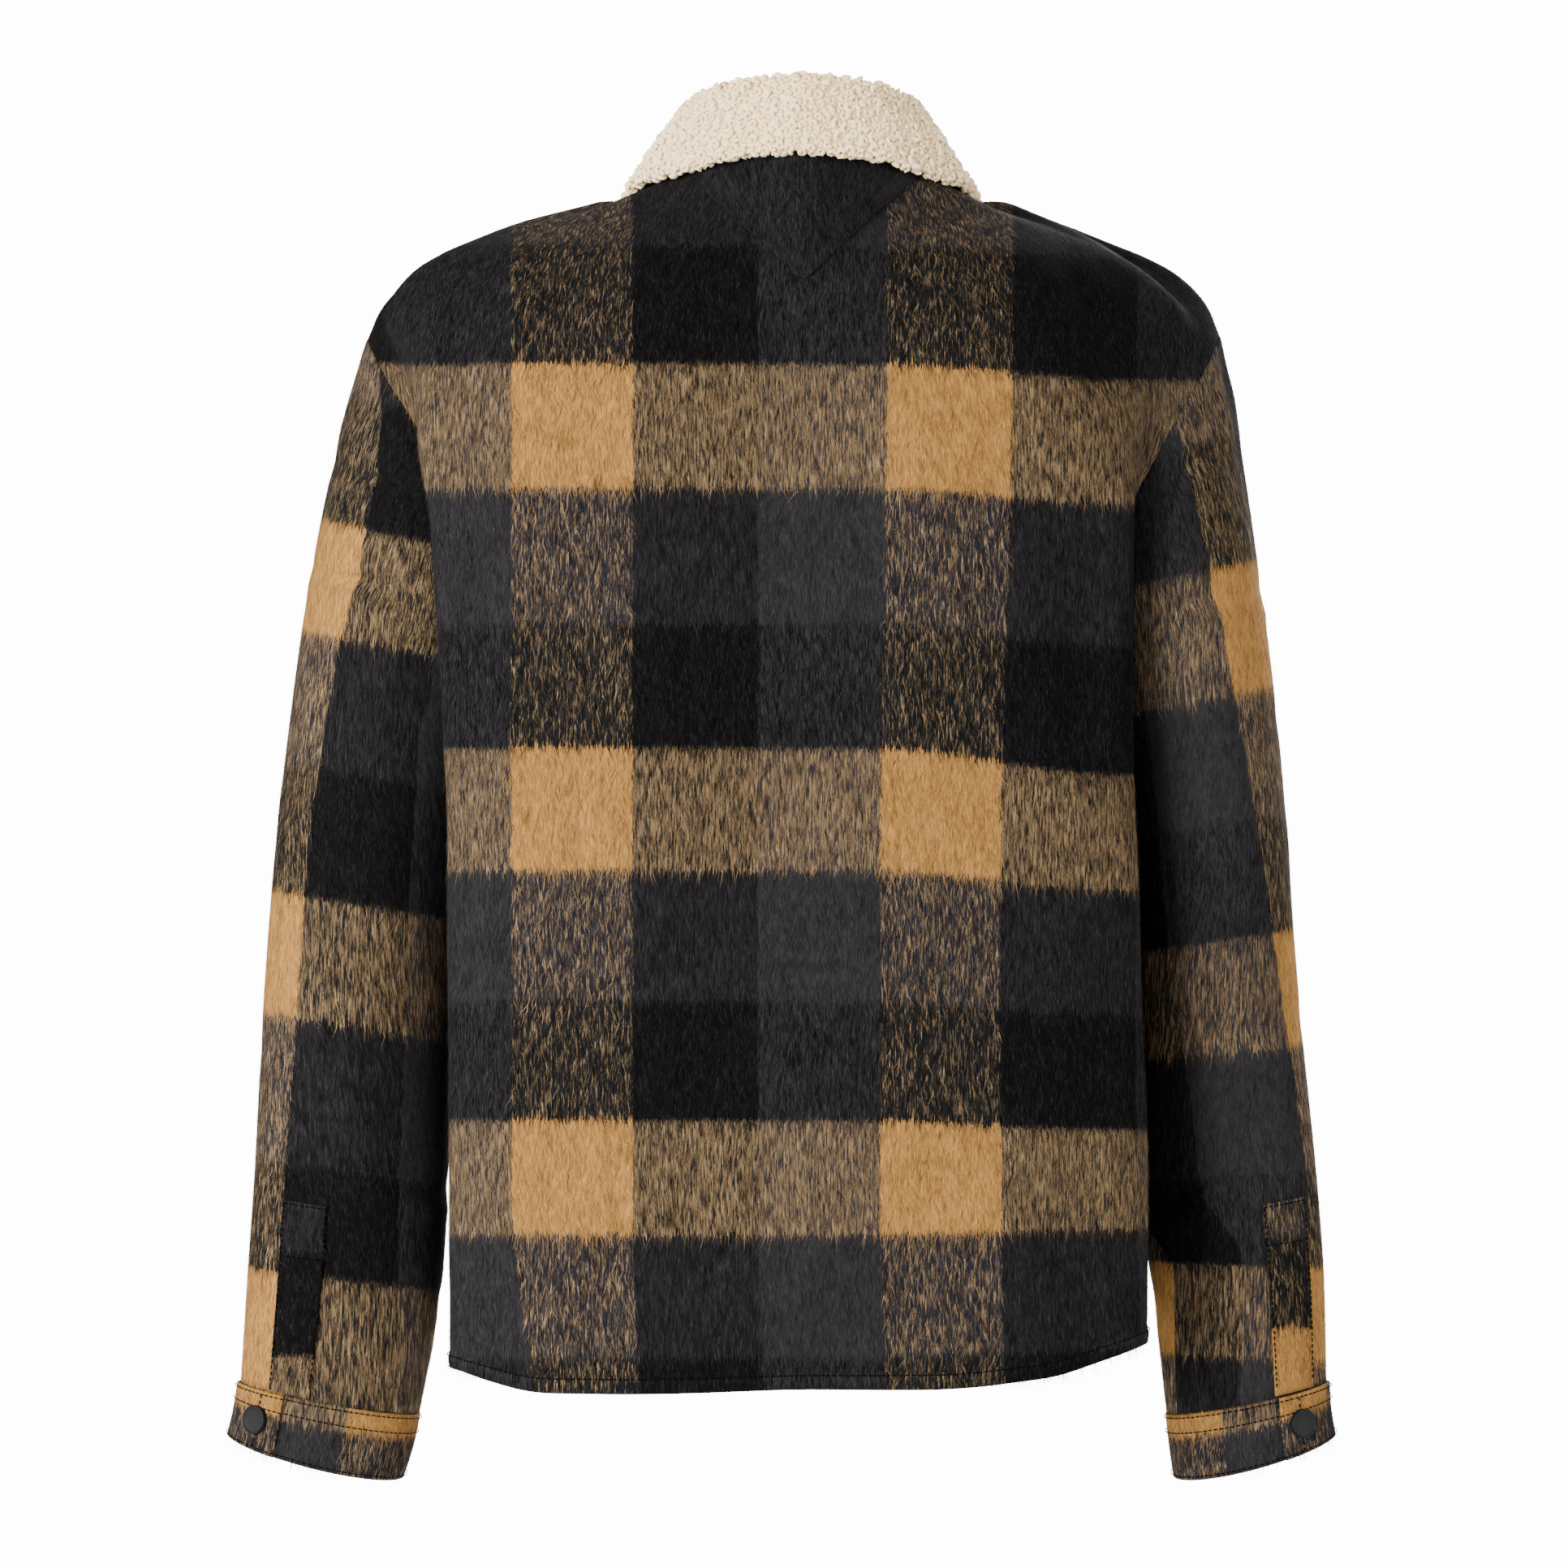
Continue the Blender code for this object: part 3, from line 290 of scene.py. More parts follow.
# Folds: a line as the camera sees it, its half width in picture points and its height in metres.
Fold = namedtuple("Fold", "x0 y0 x1 y1 wide height")
BACK_FOLDS = (
    Fold(598, 322, 545, 470, 24, -0.0040),
    Fold(655, 290, 628, 430, 30, 0.0016),
    Fold(1328, 322, 1372, 500, 24, -0.0040),
    Fold(1268, 300, 1296, 455, 32, 0.0018),
    Fold(578, 520, 600, 880, 27, -0.0036),
    Fold(640, 600, 655, 1010, 34, 0.0018),
    Fold(1352, 560, 1332, 950, 28, -0.0040),
    Fold(1288, 640, 1262, 1010, 36, 0.0022),
    Fold(566, 960, 584, 1480, 24, -0.0026),
    Fold(1374, 1010, 1346, 1530, 26, -0.0030),
    Fold(1300, 1120, 1272, 1560, 34, 0.0016),
    Fold(716, 1440, 690, 1700, 36, 0.0034),
    Fold(636, 1490, 600, 1712, 26, -0.0036),
    Fold(1236, 1390, 1268, 1700, 38, 0.0034),
    Fold(1322, 1500, 1344, 1690, 24, -0.0036),
    Fold(846, 1300, 838, 1712, 44, -0.0026),
    Fold(1004, 1250, 1012, 1712, 56, 0.0024),
    Fold(1130, 1450, 1126, 1712, 36, -0.0024),
    Fold(922, 1189, 1064, 1191, 7, -0.0013),
    Fold(930, 1178, 1060, 1177, 8, 0.0008),
    Fold(930, 773, 1058, 776, 8, -0.0011),
    Fold(784, 640, 806, 1150, 52, 0.0020),
    Fold(1132, 620, 1118, 1090, 56, 0.0020),
    Fold(950, 880, 946, 1150, 60, -0.0018),
    Fold(850, 380, 1110, 392, 40, -0.0018),
)
FRONT_FOLDS = (
    Fold(600, 420, 560, 560, 26, -0.0040),
    Fold(690, 430, 640, 640, 36, 0.0026),
    Fold(1330, 430, 1372, 580, 26, -0.0040),
    Fold(1262, 450, 1300, 660, 36, 0.0024),
    Fold(590, 640, 620, 1000, 30, -0.0036),
    Fold(1340, 660, 1306, 1040, 30, -0.0034),
    Fold(760, 700, 790, 1260, 46, 0.0024),
    Fold(1180, 760, 1148, 1290, 44, 0.0022),
    Fold(660, 1180, 632, 1700, 34, -0.0036),
    Fold(1290, 1210, 1316, 1700, 34, -0.0034),
    Fold(780, 1360, 772, 1712, 40, 0.0030),
    Fold(1164, 1380, 1176, 1712, 40, 0.0030),
)
SLEEVE_FOLDS = {
    "left": (
        Fold(470, 430, 452, 620, 18, -0.0022),
        Fold(420, 566, 520, 612, 15, -0.0030),
        Fold(396, 694, 520, 748, 13, -0.0034),
        Fold(392, 722, 526, 779, 14, 0.0026),
        Fold(410, 846, 536, 884, 19, -0.0024),
        Fold(362, 1004, 540, 1052, 28, 0.0018),
        Fold(430, 1120, 430, 1400, 24, 0.0016),
        Fold(340, 1290, 540, 1326, 20, -0.0024),
        Fold(404, 1436, 546, 1458, 12, -0.0032),
        Fold(396, 1462, 546, 1486, 12, 0.0024),
        Fold(412, 1560, 548, 1596, 18, -0.0022),
        Fold(420, 1640, 520, 1668, 16, 0.0016),
    ),
    "right": (
        Fold(1500, 440, 1516, 620, 18, -0.0022),
        Fold(1412, 606, 1506, 560, 15, -0.0030),
        Fold(1404, 764, 1546, 722, 13, -0.0032),
        Fold(1404, 792, 1552, 752, 14, 0.0024),
        Fold(1408, 920, 1560, 884, 19, -0.0024),
        Fold(1416, 1088, 1580, 1050, 28, 0.0018),
        Fold(1500, 1140, 1508, 1400, 24, 0.0016),
        Fold(1418, 1290, 1592, 1262, 20, -0.0024),
        Fold(1424, 1480, 1560, 1458, 12, -0.0030),
        Fold(1424, 1506, 1560, 1486, 12, 0.0022),
        Fold(1430, 1604, 1560, 1588, 18, -0.0022),
    ),
}
FOLD_FADE = 7

# The collar's fall: how it rests on the cloth, and the curls that wrap its free edge.
COLLAR_REST = 0.0006
# Painted light: each sleeve's tone is raised by this much, so the sleeves come out brighter, as if in more
# light than the body.
SLEEVE_PAINTED_LIGHT = {"sleeve_left": 0.24, "sleeve_right": 0.30}
COLLAR_SHORTER = 0.0035
COLLAR_LET_DOWN = 0.011
COLLAR_EVEN = 9
COLLAR_ROLL_SHARE = 0.35
COLLAR_RIM = ((0.0009, 0.0011), (0.0012, 0.0032), (0.0004, 0.0050))

# Points that the fine grids put between two of the frame's.
BACK_FINE = (5, 4)
FRONT_FINE = (5, 4)
SLEEVE_FINE = (6, 3)
CUFF_FINE = (3, 3)
COLLAR_FINE = (5, 5)
STRIP_FINE = (5, 5)
PATCH_GRID = (26, 35)

# The cut of each cloth piece: width and length in metres, and the share of that box that it fills.
Cut = namedtuple("Cut", "width length share")

# How folds wander, vary and fade at their ends, as shares of their width and height.
FOLD_BEND = 0.45
FOLD_WAVE = 1.6
FOLD_UNEVEN = 0.35
FOLD_RIPPLE = 5.0
FOLD_ENDS = 0.35

# The fronts' check at the middle line.
FRONT_COLUMN = 2.5
FRONT_COLUMN_X = -0.035

# The nap: each piece's share of the hairs and its seed.
NAP = {
    "back": (1.0, 11), "front_left": (0.8, 21), "front_right": (0.8, 22), "front_placket": (0.8, 25),
    "sleeve_left": (0.9, 31), "sleeve_right": (0.9, 32),
    "sleeve_placket_left": (0.8, 41), "sleeve_placket_right": (0.8, 42),
    "cuff_left": (0.55, 51), "cuff_right": (0.55, 52), "neck_patch": (0.9, 61), "under_collar": (0.0, 71),
}
GRAIN_SHIFT = 0.013
NAP_OUT = 0.35
CLUMP_WAVES = ((310.0, 0.0, 170.0), (0.0, 260.0, -120.0))
CLUMP_SWAY = 0.12
LIFT_SPREAD = 0.6
SHORTEST_HAIR = 0.12
HAIR_LENGTHS = (0.55, 1.3)
HAIR_WIDTHS = (0.7, 1.3)
HAIR_ROOT = 0.001

# The wool's noises, streaks, fray, weave, locks and cloud: the cells' size across, in depth and
# down the nap, in metres, then detail and roughness.
WOOL_NOISES = (
    ((0.0009, 0.0009, 0.0095), 3.0, 0.6),
    ((0.0009, 0.0009, 0.0090), 2.0, 0.7),
    ((0.0011, 0.0011, 0.0006), 2.0, 0.6),
    ((0.0007, 0.0007, 0.0050), 3.0, 0.7),
    ((0.010, 0.010, 0.022), 2.0, 0.5),
)
FIBRE_NOISE = ((0.0006, 0.0006, 0.0042), 2.0, 0.6)

# How far the noises move the check's edges, choose between crossed yarns, and vary the light.
COLUMN_FRAY = 0.08
ROW_FRAY = 0.30
STREAK_LEAN = 0.65
LOCK_LEAN = 0.35
TONE_LEAN = 0.10
TONE_LIGHT = 0.90
CLOUD_LIGHT = 0.50
WEAVE_LIGHT = 1.3
LOCK_LIGHT = 2.4
FIBRE_FROM = 0.52
FIBRE_STEEP = 7.0
FIBRE_TINT = (1.0, 0.96, 1.02)
WOOL_ROUGHNESS = 0.88
WOOL_SHEEN_ROUGHNESS = 0.45
WOOL_RELIEF = (0.55, 0.0008)
SECOND_BAND = ((0.0,) * 3, (1.0,) * 3, (0.0,) * 3)
THIRD_BAND = ((0.0,) * 3, (0.0,) * 3, (1.0,) * 3)

# Teddy: noises for the curls, the cloud and the grain; roughness, specular level and sheen.
TEDDY_NOISES = (((0.0030,) * 3, 3.0, 0.6), ((0.030,) * 3, 2.0, 0.5), ((0.0011,) * 3, 3.0, 0.6))
TEDDY_RAMP = (0.30, 0.60)
TEDDY_CLOUD = 0.22
TEDDY_FINISH = (0.95, 0.15, 0.25)
TEDDY_RELIEF = (0.8, 0.0012)
CURL_DENSITY = 400000.0
CURL_POINTS = 5
CURL_SIDES = 4
CURL_SWEEP = math.radians(285)
CURL_TILT = 0.5
CURL_SIZES = (0.75, 1.25)
CURL_RAISE = 0.35
PILE_BUMP = 0.0006
PILE_WAVES = (1300, 1100)
PILE_CHECK = ((0.0, 1.0), (0.0, 1.0))
UNDER_COLLAR_CHECK = ((1.15, 1.85), (2.15, 2.85))
COLLAR_REACH = 0.03

# Thread, snaps and floor: colour, then roughness, grain size, grain depth and specular level.
THREAD_COLOUR = (0.0016, 0.0015, 0.0015)
THREAD_FINISH = (0.9, 0.0006, 0.0002, 0.02)
SNAP_COLOUR = (0.0040, 0.0042, 0.0048)
SNAP_FINISH = (0.5, 0.0004, 0.00005, 0.12)
FLOOR_COLOUR = (0.86, 0.86, 0.86)
FLOOR_FINISH = (0.8, 0.2, 0.0, 0.3)
PLAIN_GRAIN = 0.3
PLAIN_RELIEF = 0.4

# Stitches: the blob's sides and rings, and where the rows run.
STITCH_SIDES = 6
STITCH_RINGS = 5
STITCH_IN = 0.5
FRONT_STITCH_IN = 0.9
CUFF_STITCH_HEIGHTS = (0.0018, 0.0095)
CUFF_EDGE_STITCH = 0.7
BOX_STITCH_AT = {"left": 1546, "right": 1526}
LAP_STITCH_COLUMNS = {"left": 3.4, "right": 3.0}

# The rolled hem: shares of its depth, then heights in metres.
HEM_STEP_TOP = 1.25
HEM_STEP = 0.5
HEM_ROLL_MIDDLE = 0.5
HEM_ROLL_HALF = 0.4
HEM_ROLL = 0.0018
HEM_GROOVE = 0.0016
HEM_GROOVE_HALF = 0.0022

# Neck patch and snap caps.
PATCH_TOP_GAP = 0.003
PATCH_SENT_FROM = 0.3
SNAP_FACE = ((0.0, 0.86), (0.55, 0.88), (0.93, 0.95), (1.0, 1.0))
SNAP_RIM_ANGLES = (150, 120, 90, 60, 30, 0)
SNAP_SIDES = 48
SNAP_SHARP = math.radians(50)

# Stage: each light's name, whose power it has, its size and its place.
FLOOR_SIDES = 96
LIGHTS = (
    ("key_light", "key_power", 1.8, (2.0, 2.9, 0.2)),
    ("fill_light_left", "fill_power", 1.6, (3.2, 0.7, 0.3)),
    ("fill_light_right", "fill_power", 1.6, (-3.2, 1.0, 0.3)),
    ("fill_light_front", "key_power", 2.0, (-1.2, -3.0, 1.0)),
)
LIGHTS_AIM = (0.0, 0.0, -0.35)

Panel = namedtuple("Panel", "points normals")


def side_sign(side):
    return 1.0 if side == "left" else -1.0


def pick(side, left_value, right_value):
    return left_value if side == "left" else right_value


def smooth_step(value):
    value = np.clip(value, 0.0, 1.0)
    return value * value * (3.0 - 2.0 * value)


def smooth_line(knots, steps):
    """Points on a smooth curve through the knots, steps[i] of them from knot i to the next."""
    knots = np.array(knots, float)
    chords = np.diff(knots, axis=0)
    lengths = np.linalg.norm(chords, axis=-1, keepdims=True)
    slopes = chords / lengths
    tangents = np.empty_like(knots)
    tangents[0], tangents[-1] = slopes[0], slopes[-1]
    both = lengths[:-1] + lengths[1:]
    tangents[1:-1] = (slopes[:-1] * lengths[1:] + slopes[1:] * lengths[:-1]) / both
    line = []
    for i, count in enumerate(steps):
        for step in range(count):
            u = step / count
            start = (2 * u**3 - 3 * u**2 + 1) * knots[i]
            end = (3 * u**2 - 2 * u**3) * knots[i + 1]
            leave = (u**3 - 2 * u**2 + u) * lengths[i] * tangents[i]
            arrive = (u**3 - u**2) * lengths[i] * tangents[i + 1]
            line.append(start + end + leave + arrive)
    line.append(knots[-1])
    return np.array(line)


def unit(vectors):
    return vectors / np.linalg.norm(vectors, axis=-1, keepdims=True)


def grid_normals(points, closed):
    """Unit normals of a grid of points, along the cross product of its rows and columns."""
    if closed:
        across = np.roll(points, -1, axis=1) - np.roll(points, 1, axis=1)
    else:
        across = np.gradient(points, axis=1)
    return unit(np.cross(np.gradient(points, axis=0), across))


def facing(points, outside, closed=False):
    """The grid as a panel, its normals turned to the side of the given point's direction."""
    normals = grid_normals(points, closed)
    middle = normals.shape[0] // 2, normals.shape[1] // 2
    if float(normals[middle] @ np.array(outside(points[middle]))) < 0:
        normals = -normals
    return Panel(points, normals)


def at(grid, row, column):
    """A value between the grid's points, on the same two triangles as the wall's."""
    i = min(int(row), grid.shape[0] - 2)
    j = min(int(column), grid.shape[1] - 2)
    u, v = row - i, column - j
    here, far = grid[i, j], grid[i + 1, j + 1]
    if u <= v:
        return here + v * (grid[i, j + 1] - here) + u * (far - grid[i, j + 1])
    return here + u * (grid[i + 1, j] - here) + v * (far - grid[i + 1, j])


def piece_on(panel, rows, columns):
    """A panel laid on another one, at rows and columns that may fall between its points."""
    points = np.array([[at(panel.points, i, j) for j in columns] for i in rows])
    normals = np.array([[at(panel.normals, i, j) for j in columns] for i in rows])
    return Panel(points, unit(normals))


def shoulder_knots(side):
    """The shoulder seam from the side of the neck to the shoulder tip."""
    tip = pick(side, TIP_L, TIP_R)
    reach = tip[0] / TIP_L[0]
    knots = [NECK_SIDE]
    knots += [(x * reach, SHOULDER_Y, z) for x, z in SHOULDER]
    knots.append(tip)
    return knots


def top_line(neck_knots, neck_steps, side_steps, side):
    """The neck edge, then the shoulder seam."""
    neck = smooth_line(neck_knots, neck_steps)
    dense = smooth_line(shoulder_knots(side), [SHOULDER_CURVE_STEPS] * (len(SHOULDER) + 1))
    along = np.concatenate(([0.0], np.cumsum(np.linalg.norm(np.diff(dense, axis=0), axis=1))))
    wanted = np.linspace(0.0, along[-1], side_steps + 1)
    seam = np.stack([np.interp(wanted, along, dense[:, axis]) for axis in range(3)], axis=1)
    return np.concatenate((neck[:-1], seam))


def hem_lift(side, row, share):
    """How much the hem rises towards the wearer's right side."""
    if side == "left":
        return 0.0
    height = (row.z_mid - BACK[0].z_mid) / HEM_LIFT_REACH
    return HEM_LIFT_RIGHT * smooth_step(share) * smooth_step(1.0 - height)


def side_point(row, side):
    lift = hem_lift(side, row, 1.0)
    return np.array((pick(side, row.side_l, row.side_r), row.side_y, row.side_z + lift))


def with_hem_corner(points, side):
    """The points, with the hem turned up a little towards the side seam."""
    from_seam = points[:, -1:, 0] - points[..., 0]
    above_hem = points[..., 2] - points[:1, :, 2]
    share = smooth_step(1.0 - from_seam / HEM_CORNER_REACH) * smooth_step(1.0 - above_hem / HEM_CORNER_HEIGHT)
    points[..., 2] += pick(side, HEM_CORNER_LEFT, HEM_CORNER_RIGHT) * share
    return points


def back_half(side):
    """Half of the back, from its centre to the side seam and armhole, mirrored to +X."""
    lines = []
    for row in BACK:
        ridge_x = pick(side, row.ridge_l, row.ridge_r)
        blade_x = BLADE_SHARE * ridge_x
        blade_z = row.z_mid + (row.side_z - row.z_mid) * BLADE_SHARE + row.rise
        ridge = np.array((ridge_x, row.ridge_y, row.ridge_z + hem_lift(side, row, 1.0)))
        seam = side_point(row, side)
        chord = seam - ridge
        inward = unit(np.array((chord[1], -chord[0], 0.0)))
        valley = ridge + VALLEY_SHARE * chord + inward * row.dip
        blade = (blade_x, row.blade_y, blade_z + hem_lift(side, row, HEM_LIFT_AT_BLADE))
        lines.append(smooth_line([(0.0, row.y_mid, row.z_mid), blade, ridge, valley, seam], BACK_STEPS))
    neck = [*NECK_BACK, NECK_SIDE]
    lines.append(top_line(neck, (2, 2, 1), sum(BACK_STEPS) - BACK_NECK_COLUMN, side))
    return with_hem_corner(lofted(lines), side)


def front_half(side):
    """Half of the front, from past its centre to the side seam and armhole, mirrored to +X."""
    lines = []
    for row, back_row in zip(FRONT, BACK):
        seam = side_point(back_row, side)
        if row.side_x is not None:
            seam = np.array((row.side_x, row.side_y, row.side_z))
        lift = hem_lift(side, back_row, HEM_LIFT_AT_CHEST)
        fall = seam[2] - row.z_mid
        chest_z = row.z_mid + fall * CHEST_SHARE + row.rise + lift
        flank_z = row.z_mid + fall * FLANK_SHARE + row.rise * FLANK_SHARE + lift
        centre = (0.0, row.y_mid, row.z_mid)
        chest = (CHEST_X, row.chest_y, chest_z)
        both = [(-CHEST_X, row.chest_y, chest_z), centre, chest]
        across = smooth_line(both, (LAP_CURVE_STEPS, LAP_CURVE_STEPS))[LAP_CURVE_STEPS:]
        lap = [float(np.interp(FRONT_LAP, across[:, 0], across[:, axis])) for axis in (1, 2)]
        knots = [(-FRONT_LAP, *lap), centre, chest, (row.flank_x, row.flank_y, flank_z), seam]
        lines.append(smooth_line(knots, FRONT_STEPS))
    neck = [*NECK_FRONT, NECK_SIDE]
    lines.append(top_line(neck, (1, 1, 1, 1), sum(FRONT_STEPS) - FRONT_NECK_COLUMN, side))
    return with_hem_corner(lofted(lines), side)


def lofted(lines):
    """A grid through the level lines. Its side seam and its armhole are two separate curves."""
    points = smooth_line(lines, [ROW_STEPS] * (len(lines) - 1))
    ends = [line[-1] for line in lines]
    first = UNDERARM_ROW * ROW_STEPS
    points[: first + 1, -1] = smooth_line(ends[: UNDERARM_ROW + 1], [ROW_STEPS] * UNDERARM_ROW)
    armhole_spans = len(lines) - 1 - UNDERARM_ROW
    points[first:, -1] = smooth_line(ends[UNDERARM_ROW:], [ROW_STEPS] * armhole_spans)
    return points


def tuck_under(panel):
    """Moves the right front's edge in under the left one, deeper over the double hem."""
    share = (UNDER_LAP_REACH - np.abs(panel.points[..., 0])) / (UNDER_LAP_REACH - UNDER_LAP_FLAT)
    depth = np.full(panel.points.shape[0], UNDER_LAP_DEPTH)
    depth[0] = UNDER_LAP_HEM_DEPTH
    neck = np.linspace(UNDER_LAP_DEPTH, UNDER_LAP_NECK_DEPTH, UNDER_LAP_NECK_ROWS)
    depth[-UNDER_LAP_NECK_ROWS:] = neck
    panel.points[...] -= panel.normals * (depth[:, None] * smooth_step(share))[..., None]


def armhole(back, front):
    """The closed armhole line, mirrored to +X: tip, down the back, underarm, up the front."""
    first = UNDERARM_ROW * ROW_STEPS
    down = back[first:, -1][::-1]
    up = front[first:, -1]
    return np.concatenate((down, up[1:-1]))


def ring_frame(row, side):
    outer = np.array((pick(side, row.outer_l, row.outer_r), row.y, row.outer_z))
    inner = np.array((pick(side, row.inner_l, row.inner_r), row.y, row.inner_z))
    return (outer + inner) / 2, (outer - inner) / 2


def circle_shares():
    angles = np.arange(RING_POINTS) * (2 * math.pi / RING_POINTS)
    return np.cos(angles), np.sin(angles)


def sleeve_rings(loop, side):
    """The sleeve's rings, mirrored to +X. The first follows the armhole, the rest turn round."""
    outward, backward = circle_shares()
    centre = (loop[0] + loop[RING_POINTS // 2]) / 2
    arm = (loop[0] - loop[RING_POINTS // 2]) / 2
    half = (loop[:, 1].max() - loop[:, 1].min()) / 2
    centre[1] = (loop[:, 1].max() + loop[:, 1].min()) / 2
    offset = loop - centre
    loop_out = offset @ arm / (arm @ arm)
    loop_back = offset[:, 1] / half
    across = unit(np.cross(arm, (0.0, 1.0, 0.0)))
    loop_off = offset @ across
    rings = [loop]
    for index, row in enumerate(SLEEVE):
        middle, reach = ring_frame(row, side)
        blend = smooth_step((index + 1) / RINGS_TO_ROUND)
        out = loop_out * (1 - blend) + outward * blend
        back = loop_back * (1 - blend) + backward * blend
        rings.append(
            middle
            + out[:, None] * reach
            + back[:, None] * np.array((0.0, row.half_depth, 0.0))
            + (loop_off * (1 - blend))[:, None] * across
        )
    return smooth_line(rings, [ROW_STEPS] * len(SLEEVE))


def cuff_rings(side):
    """The cuff band, mirrored to +X. Its end laps over its start."""
    count = RING_POINTS + 3
    turns = CUFF_LAP_START + np.linspace(0.0, RING_POINTS + CUFF_LAP[side], count)
    angles = turns * (2 * math.pi / RING_POINTS)
    past = turns - CUFF_LAP_START - RING_POINTS + CUFF_LAP_RISE_START
    lap = CUFF_LAP_HEIGHT * smooth_step(past / CUFF_LAP_RISE_LENGTH)
    rings = []
    for index, row in enumerate(CUFF):
        middle, reach = ring_frame(row, side)
        length = np.linalg.norm(reach)
        out = np.cos(angles)[:, None] * reach * (1 + lap[:, None] / length)
        back = np.sin(angles) * (row.half_depth + lap)
        drop = -CUFF_BACK_DROP * index * np.sin(angles)
        rings.append(middle + out + np.stack((0 * back, back, drop), axis=1))
    return smooth_line(rings, (2, 2))


def mirrored(points):
    return points * np.array((-1.0, 1.0, 1.0))


def placed(points, side):
    return points if side == "left" else mirrored(points)


def leaning(points):
    """The points, with the neck a little towards the wearer's right, as it hangs."""
    moved = points.copy()
    moved[..., 0] += NECK_LEAN * smooth_step((points[..., 2] - LEAN_START_Z) / LEAN_REACH)
    return moved


def away_from_axis(point):
    return (point[0], point[1], 0.0)


def armhole_direction(loop):
    """The shared direction of the walls at the armhole: round from its middle."""
    middle = (loop[0] + loop[RING_POINTS // 2]) / 2
    spokes = loop - middle
    spokes[:, 0] = 0.0
    return unit(spokes)


def share_normals(*edges):
    """Gives the walls that meet at a seam one direction, so that their edges lie side by side."""
    total = sum(panel.normals[index] for panel, index in edges)
    for panel, index in edges:
        panel.normals[index] = unit(total)


def shift(panel, index, vector):
    panel.points[index] += np.array(vector)


def body_panels():
    """The back, both fronts and both sleeves as panels, joined at their seams."""
    halves = {side: back_half(side) for side in ("left", "right")}
    back_points = np.concatenate((mirrored(halves["right"])[:, :0:-1], halves["left"]), axis=1)
    panels = {"back": facing(back_points, away_from_axis)}
    loops = {}
    for side in ("left", "right"):
        front = front_half(side)
        loops[side] = armhole(halves[side], front)
        panels["front_" + side] = facing(placed(front, side), away_from_axis)
        if side == "right":
            tuck_under(panels["front_right"])
        rings = placed(sleeve_rings(loops[side], side), side)
        arm = rings.mean(axis=1)
        panels["sleeve_" + side] = facing(
            rings, lambda point, arm=arm: point - arm[len(arm) // 2], closed=True
        )
    for side in ("left", "right"):
        sew_side(panels, side, placed(loops[side].copy(), side))
    for panel in panels.values():
        panel.points[...] = leaning(panel.points)
    return panels


def sew_side(panels, side, loop):
    """Shares directions and leaves the seam gap between the back, a front and a sleeve."""
    back, front, sleeve = panels["back"], panels["front_" + side], panels["sleeve_" + side]
    edge = -1 if side == "left" else 0
    first = UNDERARM_ROW * ROW_STEPS
    half = SEAM_GAP / 2 + SEAM_SLACK
    for row in range(first):
        share_normals((back, (row, edge)), (front, (row, -1)))
        shift(back, (row, edge), (0.0, half, 0.0))
        shift(front, (row, -1), (0.0, -half, 0.0))
    middle = back.points.shape[1] // 2
    seam_columns = sum(BACK_STEPS) - BACK_NECK_COLUMN
    for step in range(seam_columns):
        column = middle + int(side_sign(side)) * (BACK_NECK_COLUMN + step)
        front_column = FRONT_NECK_COLUMN + step
        share_normals((back, (-1, column)), (front, (-1, front_column)))
        shift(back, (-1, column), (0.0, half, 0.0))
        shift(front, (-1, front_column), (0.0, -half, 0.0))
    spokes = armhole_direction(loop)
    out = side_sign(side) * half
    turns = RING_POINTS // 2
    for k in range(turns + 1):
        back.normals[-1 - k, edge] = spokes[k]
        shift(back, (-1 - k, edge), (-out, half if k in (0, turns) else 0.0, 0.0))
        front.normals[first + k, -1] = spokes[(turns + k) % RING_POINTS]
        shift(front, (first + k, -1), (-out, -half if k in (0, turns) else 0.0, 0.0))
    for k in range(RING_POINTS):
        sleeve.normals[0, k] = spokes[k]
        shift(sleeve, (0, k), (out, 0.0, 0.0))
    sleeve.points[-1, :, 2] += SEAM_GAP


def collar_path(row):
    """The collar's section: up the stand, over the roll and down the fall."""
    seam, top, edge = (np.array(point) for point in (row.seam, row.top, row.edge))
    out = edge - seam
    out[2] = 0.0
    out = unit(out)
    down = np.array((0.0, 0.0, -COLLAR_ROLL_DROP * row.roll))
    knots = [seam, top - out * row.roll + down, top, top + out * row.roll + down, edge]
    return smooth_line(knots, COLLAR_PATH_STEPS)


def collar_panel():
    """The collar's outer side from its right front end to its left one."""
    half = smooth_line([collar_path(row) for row in COLLAR], COLLAR_STEPS)
    whole = np.concatenate((mirrored(half[::-1]), half[1:])).transpose(1, 0, 2)
    whole[..., 0] += NECK_LEAN * COLLAR_LEAN_SHARE
    return facing(whole, lambda point: (point[0], point[1], 1.0))


def between(low, high):
    """The two values and the whole numbers between them that aren't close to either."""
    first, last = low + CLOSE_SAMPLES, high - CLOSE_SAMPLES
    inside = [float(k) for k in range(math.ceil(low), math.floor(high) + 1) if first < k < last]
    return [low, *inside, high]


def seen(points):
    """Where the camera sees the points: across and down the picture, in its points."""
    scale = FOCUS / (CAMERA_AT[1] - points[..., 1])
    across = MIDDLE - (points[..., 0] - CAMERA_AT[0]) * scale
    return across, MIDDLE - (points[..., 2] - CAMERA_AT[2]) * scale


def table_value(table, value):
    """The value between the table's pairs."""
    places, values = zip(*table)
    return np.interp(value, places, values)


